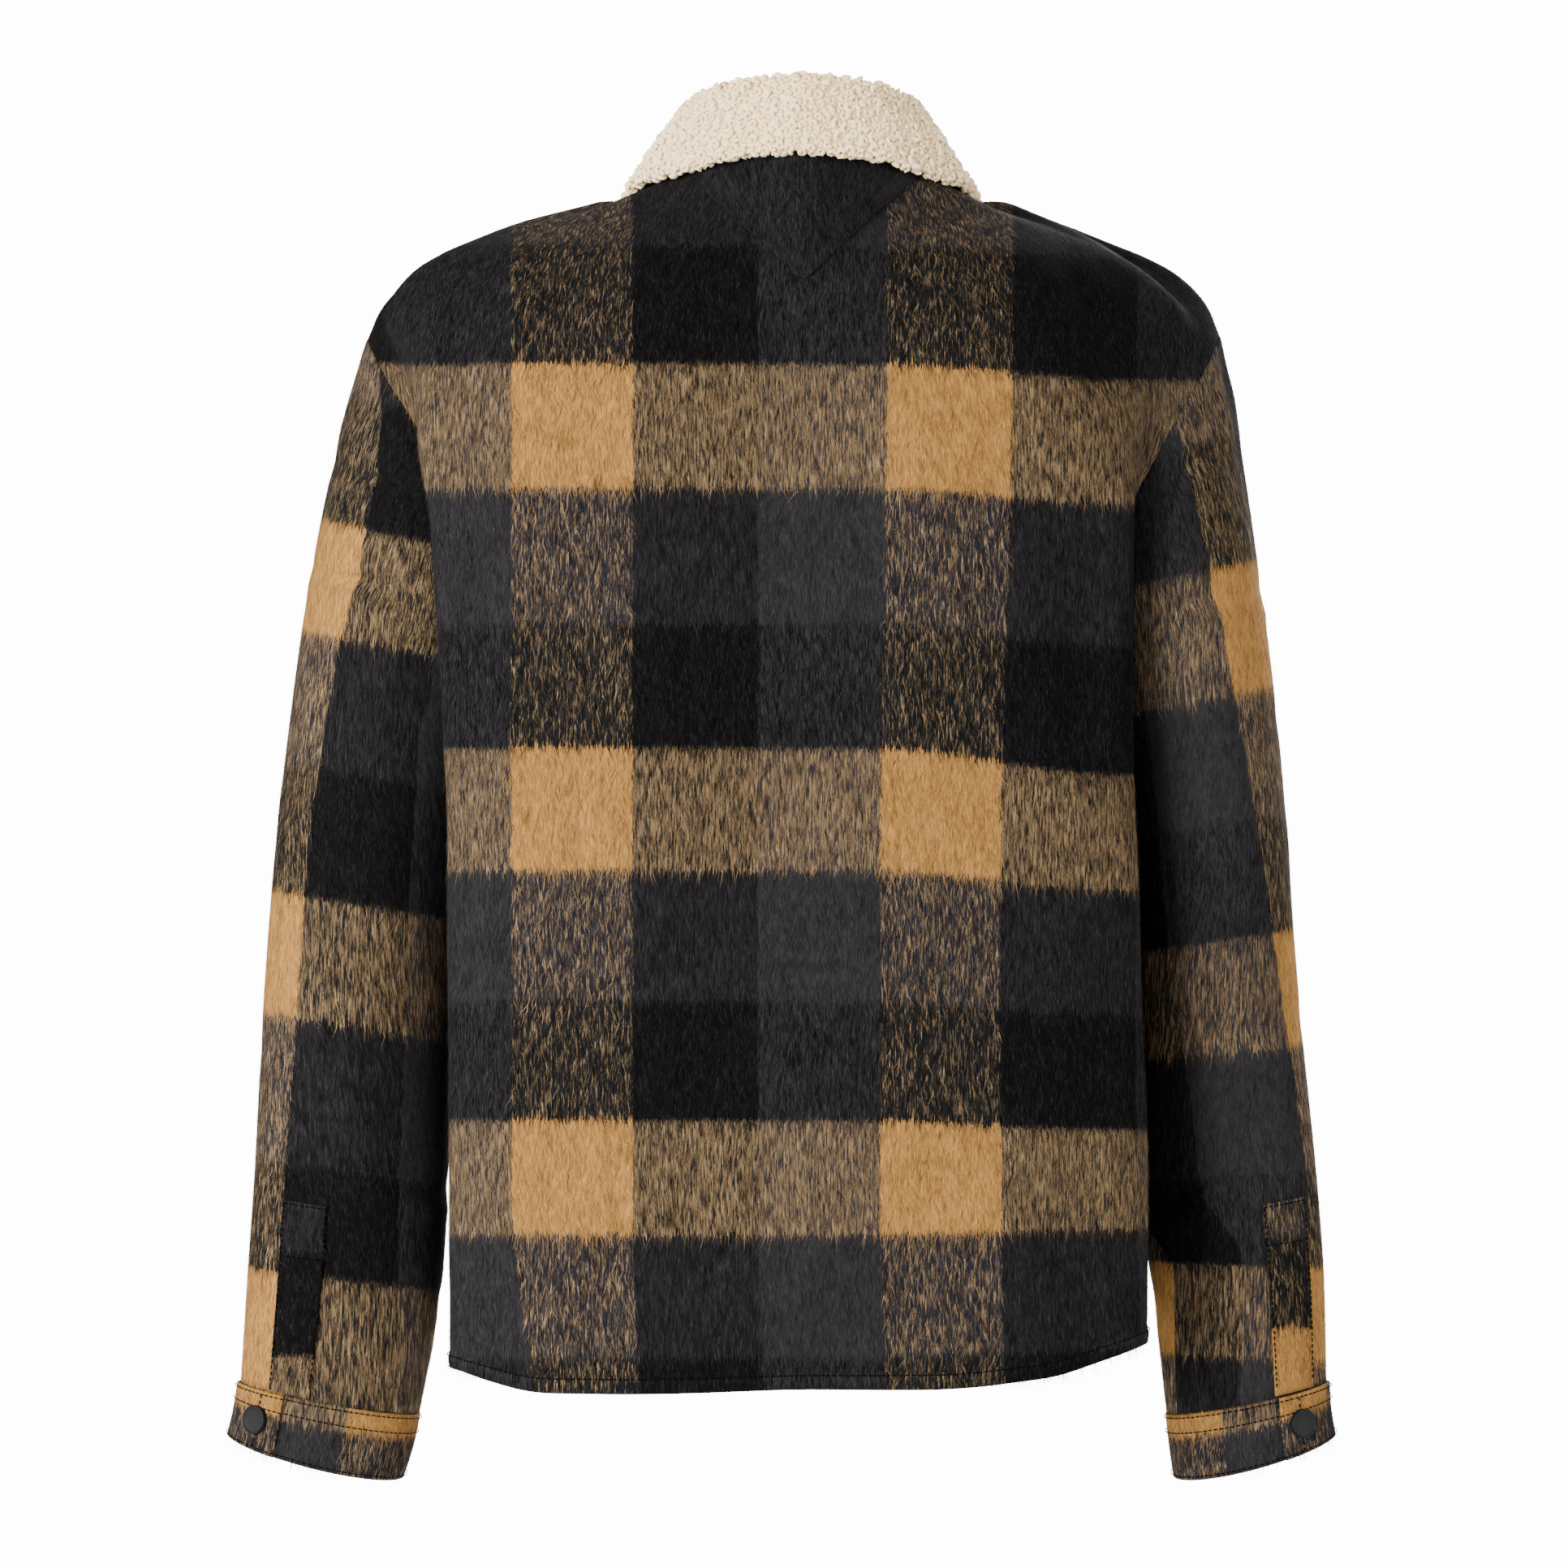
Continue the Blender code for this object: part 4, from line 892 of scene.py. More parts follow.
def finer(points, steps, closed=False):
    """The grid on the same smooth lines, with steps[0] rows and steps[1] columns for each one."""
    fine = smooth_line(points, [steps[0]] * (len(points) - 1))
    if closed:
        fine = np.concatenate((fine[:, -1:], fine, fine[:, :2]), axis=1)
    columns = fine.transpose(1, 0, 2)
    columns = smooth_line(columns, [steps[1]] * (len(columns) - 1))
    if closed:
        count = points.shape[1] * steps[1]
        columns = columns[steps[1] : steps[1] + count]
    return columns.transpose(1, 0, 2)


def fold_height(points, folds):
    """How far the folds raise each point. Each is deepest at its middle and uneven along its line."""
    across, down = seen(points)
    place = np.stack((across, down), axis=-1)
    height = np.zeros(across.shape)
    for index, fold in enumerate(folds):
        start, end = np.array((fold.x0, fold.y0), float), np.array((fold.x1, fold.y1), float)
        line = end - start
        length = np.linalg.norm(line)
        share = np.clip((place - start) @ line / length**2, 0.0, 1.0)
        bend = fold.wide * FOLD_BEND * np.sin(share * math.pi * FOLD_WAVE + index)
        side = np.array((-line[1], line[0])) / length
        offset = place - start - share[..., None] * line - bend[..., None] * side
        ripple = np.sin(share * FOLD_RIPPLE + 2.0 * index)
        far = np.linalg.norm(offset, axis=-1) / (fold.wide * (1.0 + FOLD_UNEVEN * ripple))
        deep = FOLD_ENDS + (1.0 - FOLD_ENDS) * np.sin(math.pi * share)
        height += fold.height * np.exp(-far * far) * deep
    return height


def edge_fade(shape, sides, top, bottom):
    """A share for each point of the grid: 0 at the sewn edges, 1 inside."""
    rows, columns = np.arange(shape[0]), np.arange(shape[1])
    fade = np.ones(shape)
    if sides:
        fade *= smooth_step(np.minimum(columns, columns[::-1]) / FOLD_FADE)[None, :]
    if top:
        fade *= smooth_step(rows[::-1] / FOLD_FADE)[:, None]
    if bottom:
        fade *= smooth_step(rows / FOLD_FADE)[:, None]
    return fade


def folded(panel, folds, fade, closed=False):
    """The panel with its folds, and its new directions."""
    raised = panel.points + panel.normals * (fold_height(panel.points, folds) * fade)[..., None]
    normals = grid_normals(raised, closed)
    turned = np.sum(normals * panel.normals, axis=-1, keepdims=True)
    return Panel(raised, normals * np.sign(turned))


def steps_between(points, axis):
    return np.linalg.norm(np.diff(points, axis=axis), axis=-1)


def back_check(points):
    """The check's columns and rows at each point of the back."""
    across, down = seen(points)
    droop = table_value(ROW_DROOP, down) * smooth_step((across - ROW_DROOP_FROM) / ROW_DROOP_REACH)
    rows = table_value(BACK_ROWS, down - droop)
    shift = table_value(COLUMN_SHIFT, across) * table_value(COLUMN_SHIFT_LEVELS, down)
    lean = table_value(COLUMN_LEAN, across) * table_value(COLUMN_LEAN_LEVELS, down)
    columns = table_value(BACK_COLUMNS, across + shift - lean)
    middle = points.shape[1] // 2
    ridge = (BACK_STEPS[0] + BACK_STEPS[1]) * BACK_FINE[1]
    along = steps_between(points, 1) / CHECK
    for column in range(middle + ridge + 1, points.shape[1]):
        columns[:, column] = columns[:, column - 1] - along[:, column - 1]
    for column in range(middle - ridge - 1, -1, -1):
        columns[:, column] = columns[:, column + 1] + along[:, column]
    return np.stack((columns, rows), axis=-1)


def front_check(points):
    level = MIDDLE - (points[..., 2] - CAMERA_AT[2]) * BACK_SCALE
    # Painted highlight: near the top the fronts take the camel row, standing in for bright backlit fuzz.
    rows = np.where(level < FRONT_PAINTED_HIGHLIGHT_BELOW, FRONT_PAINTED_HIGHLIGHT_ROW, table_value(BACK_ROWS, level))
    columns = FRONT_COLUMN + (points[..., 0] - FRONT_COLUMN_X) / CHECK
    return np.stack((columns, rows), axis=-1)


def sleeve_check(points, side):
    across, down = seen(points)
    outward = -1.0 if side == "left" else 1.0
    outer = points.shape[1] // 2
    line_down, line_across = down[:, outer], across[:, outer]
    order = np.argsort(line_down)
    edge = np.interp(down, line_down[order], line_across[order])
    slope = table_value(SLEEVE_ROW_SLOPE[side], down)
    rows = table_value(SLEEVE_ROWS[side], down - slope * np.abs(across - edge))
    columns = np.empty(across.shape)
    for row in range(len(points)):
        along = np.concatenate(([0.0], np.cumsum(steps_between(points[row : row + 1], 1)[0])))
        along -= along[outer]
        half = slice(outer, None)
        past = -(across[row, half] - table_value(SLEEVE_CAMEL_EDGE[side], down[row, half])) * outward
        crossing = np.interp(0.0, np.maximum.accumulate(past), along[half])
        if side == "left":
            columns[row] = 2.0 + (along - crossing) / CHECK
        else:
            low = smooth_step((down[row, outer] - LOW_CLOSER_FROM) / LOW_CLOSER_REACH)
            closer = 1.0 + LOW_CLOSER * low
            columns[row] = 1.0 - (along - crossing) / CHECK * closer
    return np.stack((columns, rows), axis=-1)


def cuff_check(points, side):
    along = np.concatenate(([0.0], np.cumsum(steps_between(points[:1], 1)[0])))
    turns = CUFF_LAP_START + np.linspace(0.0, RING_POINTS + CUFF_LAP[side], points.shape[1])
    camel = np.interp(CUFF_CAMEL_ANGLE[side] / 360 * RING_POINTS, turns, along)
    columns = 4.0 + (along - camel) / CHECK
    depth = np.concatenate(([0.0], np.cumsum(steps_between(points, 0).mean(axis=1))))
    rows = 3.0 + (depth - CUFF_CAMEL_DEPTH) / CHECK
    return np.stack(np.broadcast_arrays(columns[None, :], rows[:, None]), axis=-1)


def placket_check(points, side):
    _, down = seen(points)
    rows = table_value(PLACKET_ROWS[side], down)
    columns = np.linspace(*PLACKET_COLUMNS[side], points.shape[1])
    return np.stack(np.broadcast_arrays(columns[None, :], rows), axis=-1)


def plain_check(shape, columns, rows):
    """A piece that shows one colour, with its cloth's grain."""
    across, down = np.linspace(*columns, shape[1]), np.linspace(*rows, shape[0])
    return np.stack(np.broadcast_arrays(across[None, :], down[:, None]), axis=-1)


def new_object(name, vertices, faces, made_of, smooth=True):
    """A mesh object of equal faces, quads or triangles, given as arrays."""
    vertices, faces = np.asarray(vertices, np.float32), np.asarray(faces, np.int32)
    mesh = bpy.data.meshes.new(name)
    mesh.vertices.add(len(vertices))
    mesh.vertices.foreach_set("co", vertices.ravel())
    corners = faces.shape[1]
    mesh.loops.add(faces.size)
    mesh.loops.foreach_set("vertex_index", faces.ravel())
    mesh.polygons.add(len(faces))
    mesh.polygons.foreach_set("loop_start", np.arange(0, faces.size, corners, dtype=np.int32))
    mesh.update(calc_edges=True)
    mesh.validate()
    if smooth:
        mesh.shade_smooth()
    mesh.materials.append(made_of)
    made = bpy.data.objects.new(name, mesh)
    bpy.context.scene.collection.objects.link(made)
    return made


def give_cloth_data(obj, check, root, tone):
    """Writes what the wool reads: the check's place, the place of each hair's root, and its tone, which on
    the sleeves also carries painted light.
    """
    mesh = obj.data
    layer = mesh.uv_layers.new(name="check")
    layer.data.foreach_set("uv", np.asarray(check, np.float32).ravel())
    place = mesh.attributes.new("root", "FLOAT_VECTOR", "POINT")
    place.data.foreach_set("vector", np.asarray(root, np.float32).ravel())
    shade = mesh.attributes.new("tone", "FLOAT", "POINT")
    # Painted light: the sleeves' tone is raised to paint them brighter.
    painted_light = SLEEVE_PAINTED_LIGHT.get(obj.name.rpartition("_")[0], 0.0)
    shade.data.foreach_set("value", np.asarray(tone + painted_light, np.float32).ravel())


def with_wrap(grid, closed):
    """A grid of values for the corners: a closed one repeats its first column, one turn on."""
    return np.concatenate((grid, grid[:, :1]), axis=1) if closed else grid


def along_cloth(points, closed, offset):
    """How far each point lies across its cloth, from its middle column, and up it, in metres."""
    grid = with_wrap(points, closed)
    across = np.zeros(grid.shape[:2])
    across[:, 1:] = np.cumsum(steps_between(grid, 1), axis=1)
    across -= across[:, grid.shape[1] // 2][:, None]
    up = np.zeros(grid.shape[:2])
    up[1:] = np.cumsum(steps_between(grid, 0), axis=0)
    return np.stack((across, np.full(across.shape, offset), up), axis=-1)


def shell(name, panel, thickness, check, made_of, lift=0.0, closed=False, place=None):
    """A thin cloth shell under the panel, with the check's places on its faces."""
    rows, columns = panel.points.shape[:2]
    depth = np.broadcast_to(np.asarray(thickness, float).reshape(-1, 1, 1), (rows, columns, 1))
    outer = panel.points + panel.normals * lift
    inner = outer - panel.normals * depth
    vertices = np.concatenate((outer.reshape(-1, 3), inner.reshape(-1, 3)))
    spans = columns if closed else columns - 1
    i, j = np.meshgrid(np.arange(rows - 1), np.arange(spans), indexing="ij")
    k = (j + 1) % columns
    quads = np.stack((i * columns + j, i * columns + k, (i + 1) * columns + k, (i + 1) * columns + j), -1)
    quads = quads.reshape(-1, 4)
    places = np.stack((check[i, j], check[i, j + 1], check[i + 1, j + 1], check[i + 1, j]), -2)
    places = places.reshape(-1, 4, 2)
    middle = len(quads) // 2
    corner = vertices[quads[middle]]
    turn = np.cross(corner[2] - corner[0], corner[3] - corner[1])
    outwards = turn @ panel.normals.reshape(-1, 3)[quads[middle, 0]] > 0
    size = rows * columns
    skins = [quads, quads[:, ::-1] + size]
    values = [places, places[:, ::-1]]
    rims = []
    for row, flip in ((0, False), (rows - 1, True)):
        j = np.arange(spans)
        k = (j + 1) % columns
        a, b = row * columns + j, row * columns + k
        rim = np.stack((b, a, a + size, b + size), -1)
        value = np.stack((check[row, j + 1], check[row, j], check[row, j], check[row, j + 1]), -2)
        rims.append((rim[:, ::-1], value[:, ::-1]) if flip else (rim, value))
    if not closed:
        for column, flip in ((0, True), (columns - 1, False)):
            i = np.arange(rows - 1)
            a, b = i * columns + column, (i + 1) * columns + column
            rim = np.stack((b, a, a + size, b + size), -1)
            value = np.stack(
                (check[i + 1, column], check[i, column], check[i, column], check[i + 1, column]), -2
            )
            rims.append((rim[:, ::-1], value[:, ::-1]) if flip else (rim, value))
    faces = np.concatenate(skins + [rim for rim, _ in rims])
    values = np.concatenate(values + [value for _, value in rims])
    if not outwards:
        faces, values = faces[:, ::-1], values[:, ::-1]
    made = new_object(name, vertices, faces, made_of)
    if place is None:
        place = panel.points
    flat = place[:, :columns].reshape(-1, 3)
    give_cloth_data(made, values, np.concatenate((flat, flat)), np.full(len(vertices), 0.5))
    return made


def nap(name, panel, check, place, per_area, seed, made_of, lift=0.0, closed=False):
    """The brushed hairs of a piece: thin blades that lie down its cloth, as one mesh."""
    look = bpy.context.scene.overshirt_wool
    chance = np.random.default_rng(seed)
    points = with_wrap(panel.points + panel.normals * lift, closed)
    normals = with_wrap(panel.normals, closed)
    across = points[:-1, 1:] - points[:-1, :-1]
    up = points[1:, :-1] - points[:-1, :-1]
    areas = np.linalg.norm(np.cross(across, up), axis=-1)
    count = int(areas.sum() * per_area)
    cell = chance.choice(areas.size, count, p=(areas / areas.sum()).ravel())
    i, j = np.unravel_index(cell, areas.shape)
    s, t = chance.random((2, count, 1))

    def blend(grid):
        low = grid[i, j] * (1 - t) + grid[i, j + 1] * t
        high = grid[i + 1, j] * (1 - t) + grid[i + 1, j + 1] * t
        return low * (1 - s) + high * s

    root, out, shade, grain = blend(points), unit(blend(normals)), blend(check), blend(place)
    down = np.array((0.0, 0.0, -1.0)) + NAP_OUT * out
    down = unit(down - np.sum(down * out, axis=1, keepdims=True) * out)
    side = np.cross(out, down)
    sway = chance.normal(0.0, look.sway, (count, 1))
    clump = sum(np.sin(root @ np.array(wave)[:, None]) for wave in CLUMP_WAVES)
    sway += CLUMP_SWAY * clump
    rise = np.abs(chance.normal(look.lift, look.lift * LIFT_SPREAD, (count, 1)))
    along = unit(down + side * sway + out * rise)
    edge = points[..., 2].min()
    clear = np.clip((root[:, 2:] - edge - look.clear) / look.length, SHORTEST_HAIR, 1.0)
    length = look.length * chance.uniform(*HAIR_LENGTHS, (count, 1)) * clear
    half = side * look.width / 2 * chance.uniform(*HAIR_WIDTHS, (count, 1))
    base = root - along * HAIR_ROOT
    tip = base + along * length
    corners = np.stack((base - half, base + half, tip), axis=1)
    faces = np.arange(count * 3).reshape(-1, 3)
    wise = np.cross(corners[:, 1] - corners[:, 0], corners[:, 2] - corners[:, 0])
    if np.mean(np.sum(wise * out, axis=1)) < 0:
        faces = faces[:, ::-1]
    made = new_object(name, corners.reshape(-1, 3), faces, made_of, smooth=False)
    tones = np.repeat(chance.random(count), 3)
    give_cloth_data(made, np.repeat(shade, 3, axis=0), np.repeat(grain, 3, axis=0), tones)
    return made


def link(tree, source, target):
    tree.links.new(source, target)


def add_node(tree, kind, **values):
    made = tree.nodes.new(kind)
    for name, value in values.items():
        setattr(made, name, value)
    return made


def maths(tree, operation, first, second=None, clamp=False):
    made = add_node(tree, "ShaderNodeMath", operation=operation, use_clamp=clamp)
    for socket, value in zip(made.inputs, (first, second)):
        if isinstance(value, bpy.types.NodeSocket):
            link(tree, value, socket)
        elif value is not None:
            socket.default_value = value
    return made.outputs[0]


def swing(tree, value, amount):
    """The value, 0 to 1, as a swing of this amount round nought."""
    return maths(tree, "MULTIPLY", maths(tree, "SUBTRACT", value, 0.5), amount)


def streak_noise(tree, place, sizes, detail, roughness=0.5):
    """Noise drawn out along the nap. sizes are its cells across, in depth and down, in metres."""
    scaled = add_node(tree, "ShaderNodeVectorMath", operation="MULTIPLY")
    scaled.inputs[1].default_value = [1.0 / size for size in sizes]
    link(tree, place, scaled.inputs[0])
    noise = add_node(tree, "ShaderNodeTexNoise")
    noise.inputs["Scale"].default_value = 1.0
    noise.inputs["Detail"].default_value = detail
    noise.inputs["Roughness"].default_value = roughness
    link(tree, scaled.outputs[0], noise.inputs["Vector"])
    return noise.outputs["Fac"]


def band_colours(tree, places, colours):
    """The colour of a third of each repeat: places counts the bands."""
    ramp = add_node(tree, "ShaderNodeValToRGB")
    ramp.color_ramp.interpolation = "CONSTANT"
    ramp.color_ramp.elements.new(1 / 3)
    for index, element in enumerate(ramp.color_ramp.elements):
        element.position = index / 3
        element.color = (*colours[index], 1.0)
    link(tree, maths(tree, "FRACT", maths(tree, "DIVIDE", places, 3.0)), ramp.inputs[0])
    return ramp.outputs[0]


def mixed(tree, kind, factor, first, second):
    made = add_node(tree, "ShaderNodeMix", data_type="RGBA", blend_type=kind)
    for socket, value in ((made.inputs[0], factor), (made.inputs[6], first), (made.inputs[7], second)):
        if isinstance(value, bpy.types.NodeSocket):
            link(tree, value, socket)
        else:
            socket.default_value = value
    return made.outputs[2]


def new_material(name):
    """A material, its tree and its shader."""
    made = bpy.data.materials.new(name)
    made.use_nodes = True
    return made, made.node_tree, made.node_tree.nodes["Principled BSDF"]


def set_finish(shader, roughness, specular, sheen):
    shader.inputs["Roughness"].default_value = roughness
    shader.inputs["Specular IOR Level"].default_value = specular
    shader.inputs["Sheen Weight"].default_value = sheen


def set_relief(tree, shader, height, strength, depth):
    """Gives the surface a small relief from a noise."""
    bump = add_node(tree, "ShaderNodeBump")
    bump.inputs["Strength"].default_value = strength
    bump.inputs["Distance"].default_value = depth
    link(tree, height, bump.inputs["Height"])
    link(tree, bump.outputs[0], shader.inputs["Normal"])


def check_wool():
    """Brushed twill in a block check: rows and columns of charcoal, black and camel that cross."""
    found = bpy.data.materials.get("check_wool_brushed")
    if found:
        return found
    look = bpy.context.scene.overshirt_wool
    made, tree, shader = new_material("check_wool_brushed")
    check = add_node(tree, "ShaderNodeUVMap", uv_map="check")
    split = add_node(tree, "ShaderNodeSeparateXYZ")
    link(tree, check.outputs[0], split.inputs[0])
    root = add_node(tree, "ShaderNodeAttribute", attribute_name="root").outputs["Vector"]
    tone = add_node(tree, "ShaderNodeAttribute", attribute_name="tone").outputs["Fac"]

    streaks, fray, weave, locks, cloud = (streak_noise(tree, root, *noise) for noise in WOOL_NOISES)
    column_place = maths(tree, "ADD", split.outputs[0], swing(tree, fray, COLUMN_FRAY))
    row_place = maths(tree, "ADD", split.outputs[1], swing(tree, streaks, ROW_FRAY))
    charcoal, black, camel = look.charcoal, look.black, look.camel
    columns = band_colours(tree, column_place, (charcoal, camel, black))
    rows = band_colours(tree, row_place, (charcoal, black, camel))
    thin, grey, dark = look.crossed_camel, look.crossed_charcoal, look.crossed_black
    columns_crossed = band_colours(tree, column_place, (grey, thin, dark))
    rows_crossed = band_colours(tree, row_place, (grey, dark, thin))
    camel_column = band_colours(tree, column_place, SECOND_BAND)
    camel_row = band_colours(tree, row_place, THIRD_BAND)
    one_camel = maths(tree, "ABSOLUTE", maths(tree, "SUBTRACT", camel_column, camel_row))
    black_row = band_colours(tree, row_place, SECOND_BAND)
    hidden = maths(tree, "ADD", maths(tree, "MULTIPLY", black_row, look.black_share), look.column_share)
    share = maths(tree, "ADD", maths(tree, "MULTIPLY", camel_column, hidden), 0.5)
    lower = maths(tree, "SUBTRACT", look.row_share, share)
    share = maths(tree, "ADD", share, maths(tree, "MULTIPLY", lower, camel_row))
    lean = maths(tree, "MULTIPLY", streaks, STREAK_LEAN)
    lean = maths(tree, "ADD", lean, maths(tree, "MULTIPLY", locks, LOCK_LEAN))
    lean = maths(tree, "ADD", lean, swing(tree, tone, TONE_LEAN))
    choice = maths(tree, "DIVIDE", maths(tree, "SUBTRACT", share, lean), look.softness)
    choice = maths(tree, "ADD", choice, 0.5, clamp=True)
    plain = mixed(tree, "MIX", choice, columns, rows)
    crossed = mixed(tree, "MIX", choice, columns_crossed, rows_crossed)
    crossed = mixed(tree, "MIX", one_camel, plain, crossed)
    # The tone carries the sleeves' painted light, so this brightens them.
    light = swing(tree, tone, TONE_LIGHT)
    for noise, amount in ((cloud, CLOUD_LIGHT), (weave, WEAVE_LIGHT), (locks, LOCK_LIGHT)):
        light = maths(tree, "ADD", light, swing(tree, noise, amount))
    light = maths(tree, "ADD", light, 1.0)
    colour = mixed(tree, "MULTIPLY", 1.0, crossed, light)
    fibres = streak_noise(tree, root, *FIBRE_NOISE)
    fibres = maths(tree, "MULTIPLY", maths(tree, "SUBTRACT", fibres, FIBRE_FROM), FIBRE_STEEP, clamp=True)
    pale = (*(look.fibre * tint for tint in FIBRE_TINT), 1.0)
    link(tree, mixed(tree, "ADD", fibres, colour, pale), shader.inputs["Base Color"])
    set_finish(shader, WOOL_ROUGHNESS, look.gloss, look.sheen)
    shader.inputs["Sheen Roughness"].default_value = WOOL_SHEEN_ROUGHNESS
    set_relief(tree, shader, fray, *WOOL_RELIEF)
    return made


def teddy_pile():
    """Cream teddy: matt curls with a warmer, darker ground between them."""
    found = bpy.data.materials.get("teddy_pile")
    if found:
        return found
    look = bpy.context.scene.overshirt_teddy
    made, tree, shader = new_material("teddy_pile")
    place = add_node(tree, "ShaderNodeTexCoord").outputs["Object"]
    curls, cloud, grain = (streak_noise(tree, place, *noise) for noise in TEDDY_NOISES)
    ramp = add_node(tree, "ShaderNodeValToRGB")
    shades = zip(ramp.color_ramp.elements, TEDDY_RAMP, (look.ground, look.colour))
    for element, position, shade in shades:
        element.position = position
        element.color = (*shade, 1.0)
    link(tree, curls, ramp.inputs[0])
    light = maths(tree, "ADD", maths(tree, "MULTIPLY", cloud, TEDDY_CLOUD), 1.0 - TEDDY_CLOUD / 2)
    link(tree, mixed(tree, "MULTIPLY", 1.0, ramp.outputs[0], light), shader.inputs["Base Color"])
    set_finish(shader, *TEDDY_FINISH)
    set_relief(tree, shader, grain, *TEDDY_RELIEF)
    return made


def plain_material(name, colour, roughness, grain, depth, specular):
    """One colour with a fine grain: thread, snap paint and the floor."""
    found = bpy.data.materials.get(name)
    if found:
        return found
    made, tree, shader = new_material(name)
    place = add_node(tree, "ShaderNodeTexCoord").outputs["Object"]
    noise = streak_noise(tree, place, (grain, grain, grain), 3.0)
    light = maths(tree, "ADD", maths(tree, "MULTIPLY", noise, PLAIN_GRAIN), 1.0 - PLAIN_GRAIN / 2)
    link(tree, mixed(tree, "MULTIPLY", 1.0, (*colour, 1.0), light), shader.inputs["Base Color"])
    set_finish(shader, roughness, specular, 0.0)
    set_relief(tree, shader, noise, PLAIN_RELIEF, depth)
    return made


def surfaces_under(names):
    """The finished pieces of these names, as surfaces that a line can be sent to."""
    trees = []
    for name in names:
        mesh = PLACED[name].data
        mesh.calc_loop_triangles()
        corners = [tuple(vertex.co) for vertex in mesh.vertices]
        trees.append(BVHTree.FromPolygons(corners, [tuple(t.vertices) for t in mesh.loop_triangles]))
    return trees


def let_down(points, normals, depth):
    """The collar with the free edge of its fall let down onto the cloth beneath."""
    trees = surfaces_under(("back", "front_left", "front_right", "neck_patch"))
    gaps = []
    for point, out in zip(points[-1], normals[-1]):
        hits = [tree.ray_cast(Vector(point), Vector(-out), COLLAR_REACH)[3] for tree in trees]
        near = min((hit for hit in hits if hit is not None), default=depth)
        gaps.append(np.clip(near - depth - COLLAR_REST, 0.0, COLLAR_LET_DOWN))
    even = np.ones(COLLAR_EVEN) / COLLAR_EVEN
    gaps = np.convolve(np.pad(gaps, COLLAR_EVEN // 2, mode="edge"), even, mode="valid")
    rows = np.arange(len(points)) / (len(points) - 1)
    share = smooth_step((rows - COLLAR_ROLL_SHARE) / (1.0 - COLLAR_ROLL_SHARE))
    shorter = unit(points[-1] - points[-2]) * COLLAR_SHORTER
    return points - normals[-1] * (share[:, None] * gaps)[..., None] - share[:, None, None] * shorter


def thread():
    return plain_material("black_thread", THREAD_COLOUR, *THREAD_FINISH)


def snap_paint():
    return plain_material("matt_black_snap", SNAP_COLOUR, *SNAP_FINISH)


def node_tree(name, *inputs):
    """A geometry node tree with a geometry input, named number inputs and a geometry output."""
    tree = bpy.data.node_groups.new(name, "GeometryNodeTree")
    tree.interface.new_socket("Geometry", in_out="INPUT", socket_type="NodeSocketGeometry")
    identifiers = {}
    for label, kind in inputs:
        socket = tree.interface.new_socket(label, in_out="INPUT", socket_type=kind)
        identifiers[label] = socket.identifier
    tree.interface.new_socket("Geometry", in_out="OUTPUT", socket_type="NodeSocketGeometry")
    return tree, identifiers, tree.nodes.new("NodeGroupInput"), tree.nodes.new("NodeGroupOutput")


def finish_tree(tree, geometry, end, made_of):
    """Makes the copies real, shades them smooth and gives them their material."""
    real = tree.nodes.new("GeometryNodeRealizeInstances")
    smooth = tree.nodes.new("GeometryNodeSetShadeSmooth")
    paint = tree.nodes.new("GeometryNodeSetMaterial")
    paint.inputs["Material"].default_value = made_of
    link(tree, geometry, real.inputs[0])
    link(tree, real.outputs[0], smooth.inputs[0])
    link(tree, smooth.outputs[0], paint.inputs[0])
    link(tree, paint.outputs[0], end.inputs[0])


def stitch_tree(made_of):
    """Stitches along a line: a small round-ended blob for each pitch, turned along it."""
    tree, names, start, end = node_tree(
        "stitch_row", ("Pitch", "NodeSocketFloat"), ("Length", "NodeSocketFloat"),
        ("Radius", "NodeSocketFloat"),
    )
    curve = tree.nodes.new("GeometryNodeMeshToCurve")
    even = tree.nodes.new("GeometryNodeResampleCurve")
    even.mode = "LENGTH"
    blob = tree.nodes.new("GeometryNodeMeshUVSphere")
    blob.inputs["Segments"].default_value = STITCH_SIDES
    blob.inputs["Rings"].default_value = STITCH_RINGS
    blob.inputs["Radius"].default_value = 1.0
    size = tree.nodes.new("ShaderNodeCombineXYZ")
    half = maths(tree, "MULTIPLY", start.outputs["Length"], 0.5)
    shape = tree.nodes.new("GeometryNodeTransform")
    tangent = tree.nodes.new("GeometryNodeInputTangent")
    turn = tree.nodes.new("FunctionNodeAlignRotationToVector")
    turn.axis = "Z"
    copies = tree.nodes.new("GeometryNodeInstanceOnPoints")
    link(tree, start.outputs["Geometry"], curve.inputs[0])
    link(tree, curve.outputs[0], even.inputs["Curve"])
    link(tree, start.outputs["Pitch"], even.inputs["Length"])
    link(tree, start.outputs["Radius"], size.inputs[0])
    link(tree, start.outputs["Radius"], size.inputs[1])
    link(tree, half, size.inputs[2])
    link(tree, blob.outputs[0], shape.inputs["Geometry"])
    link(tree, size.outputs[0], shape.inputs["Scale"])
    link(tree, tangent.outputs[0], turn.inputs["Vector"])
    link(tree, even.outputs[0], copies.inputs["Points"])
    link(tree, shape.outputs[0], copies.inputs["Instance"])
    link(tree, turn.outputs[0], copies.inputs["Rotation"])
    finish_tree(tree, copies.outputs[0], end, made_of)
    return tree, names


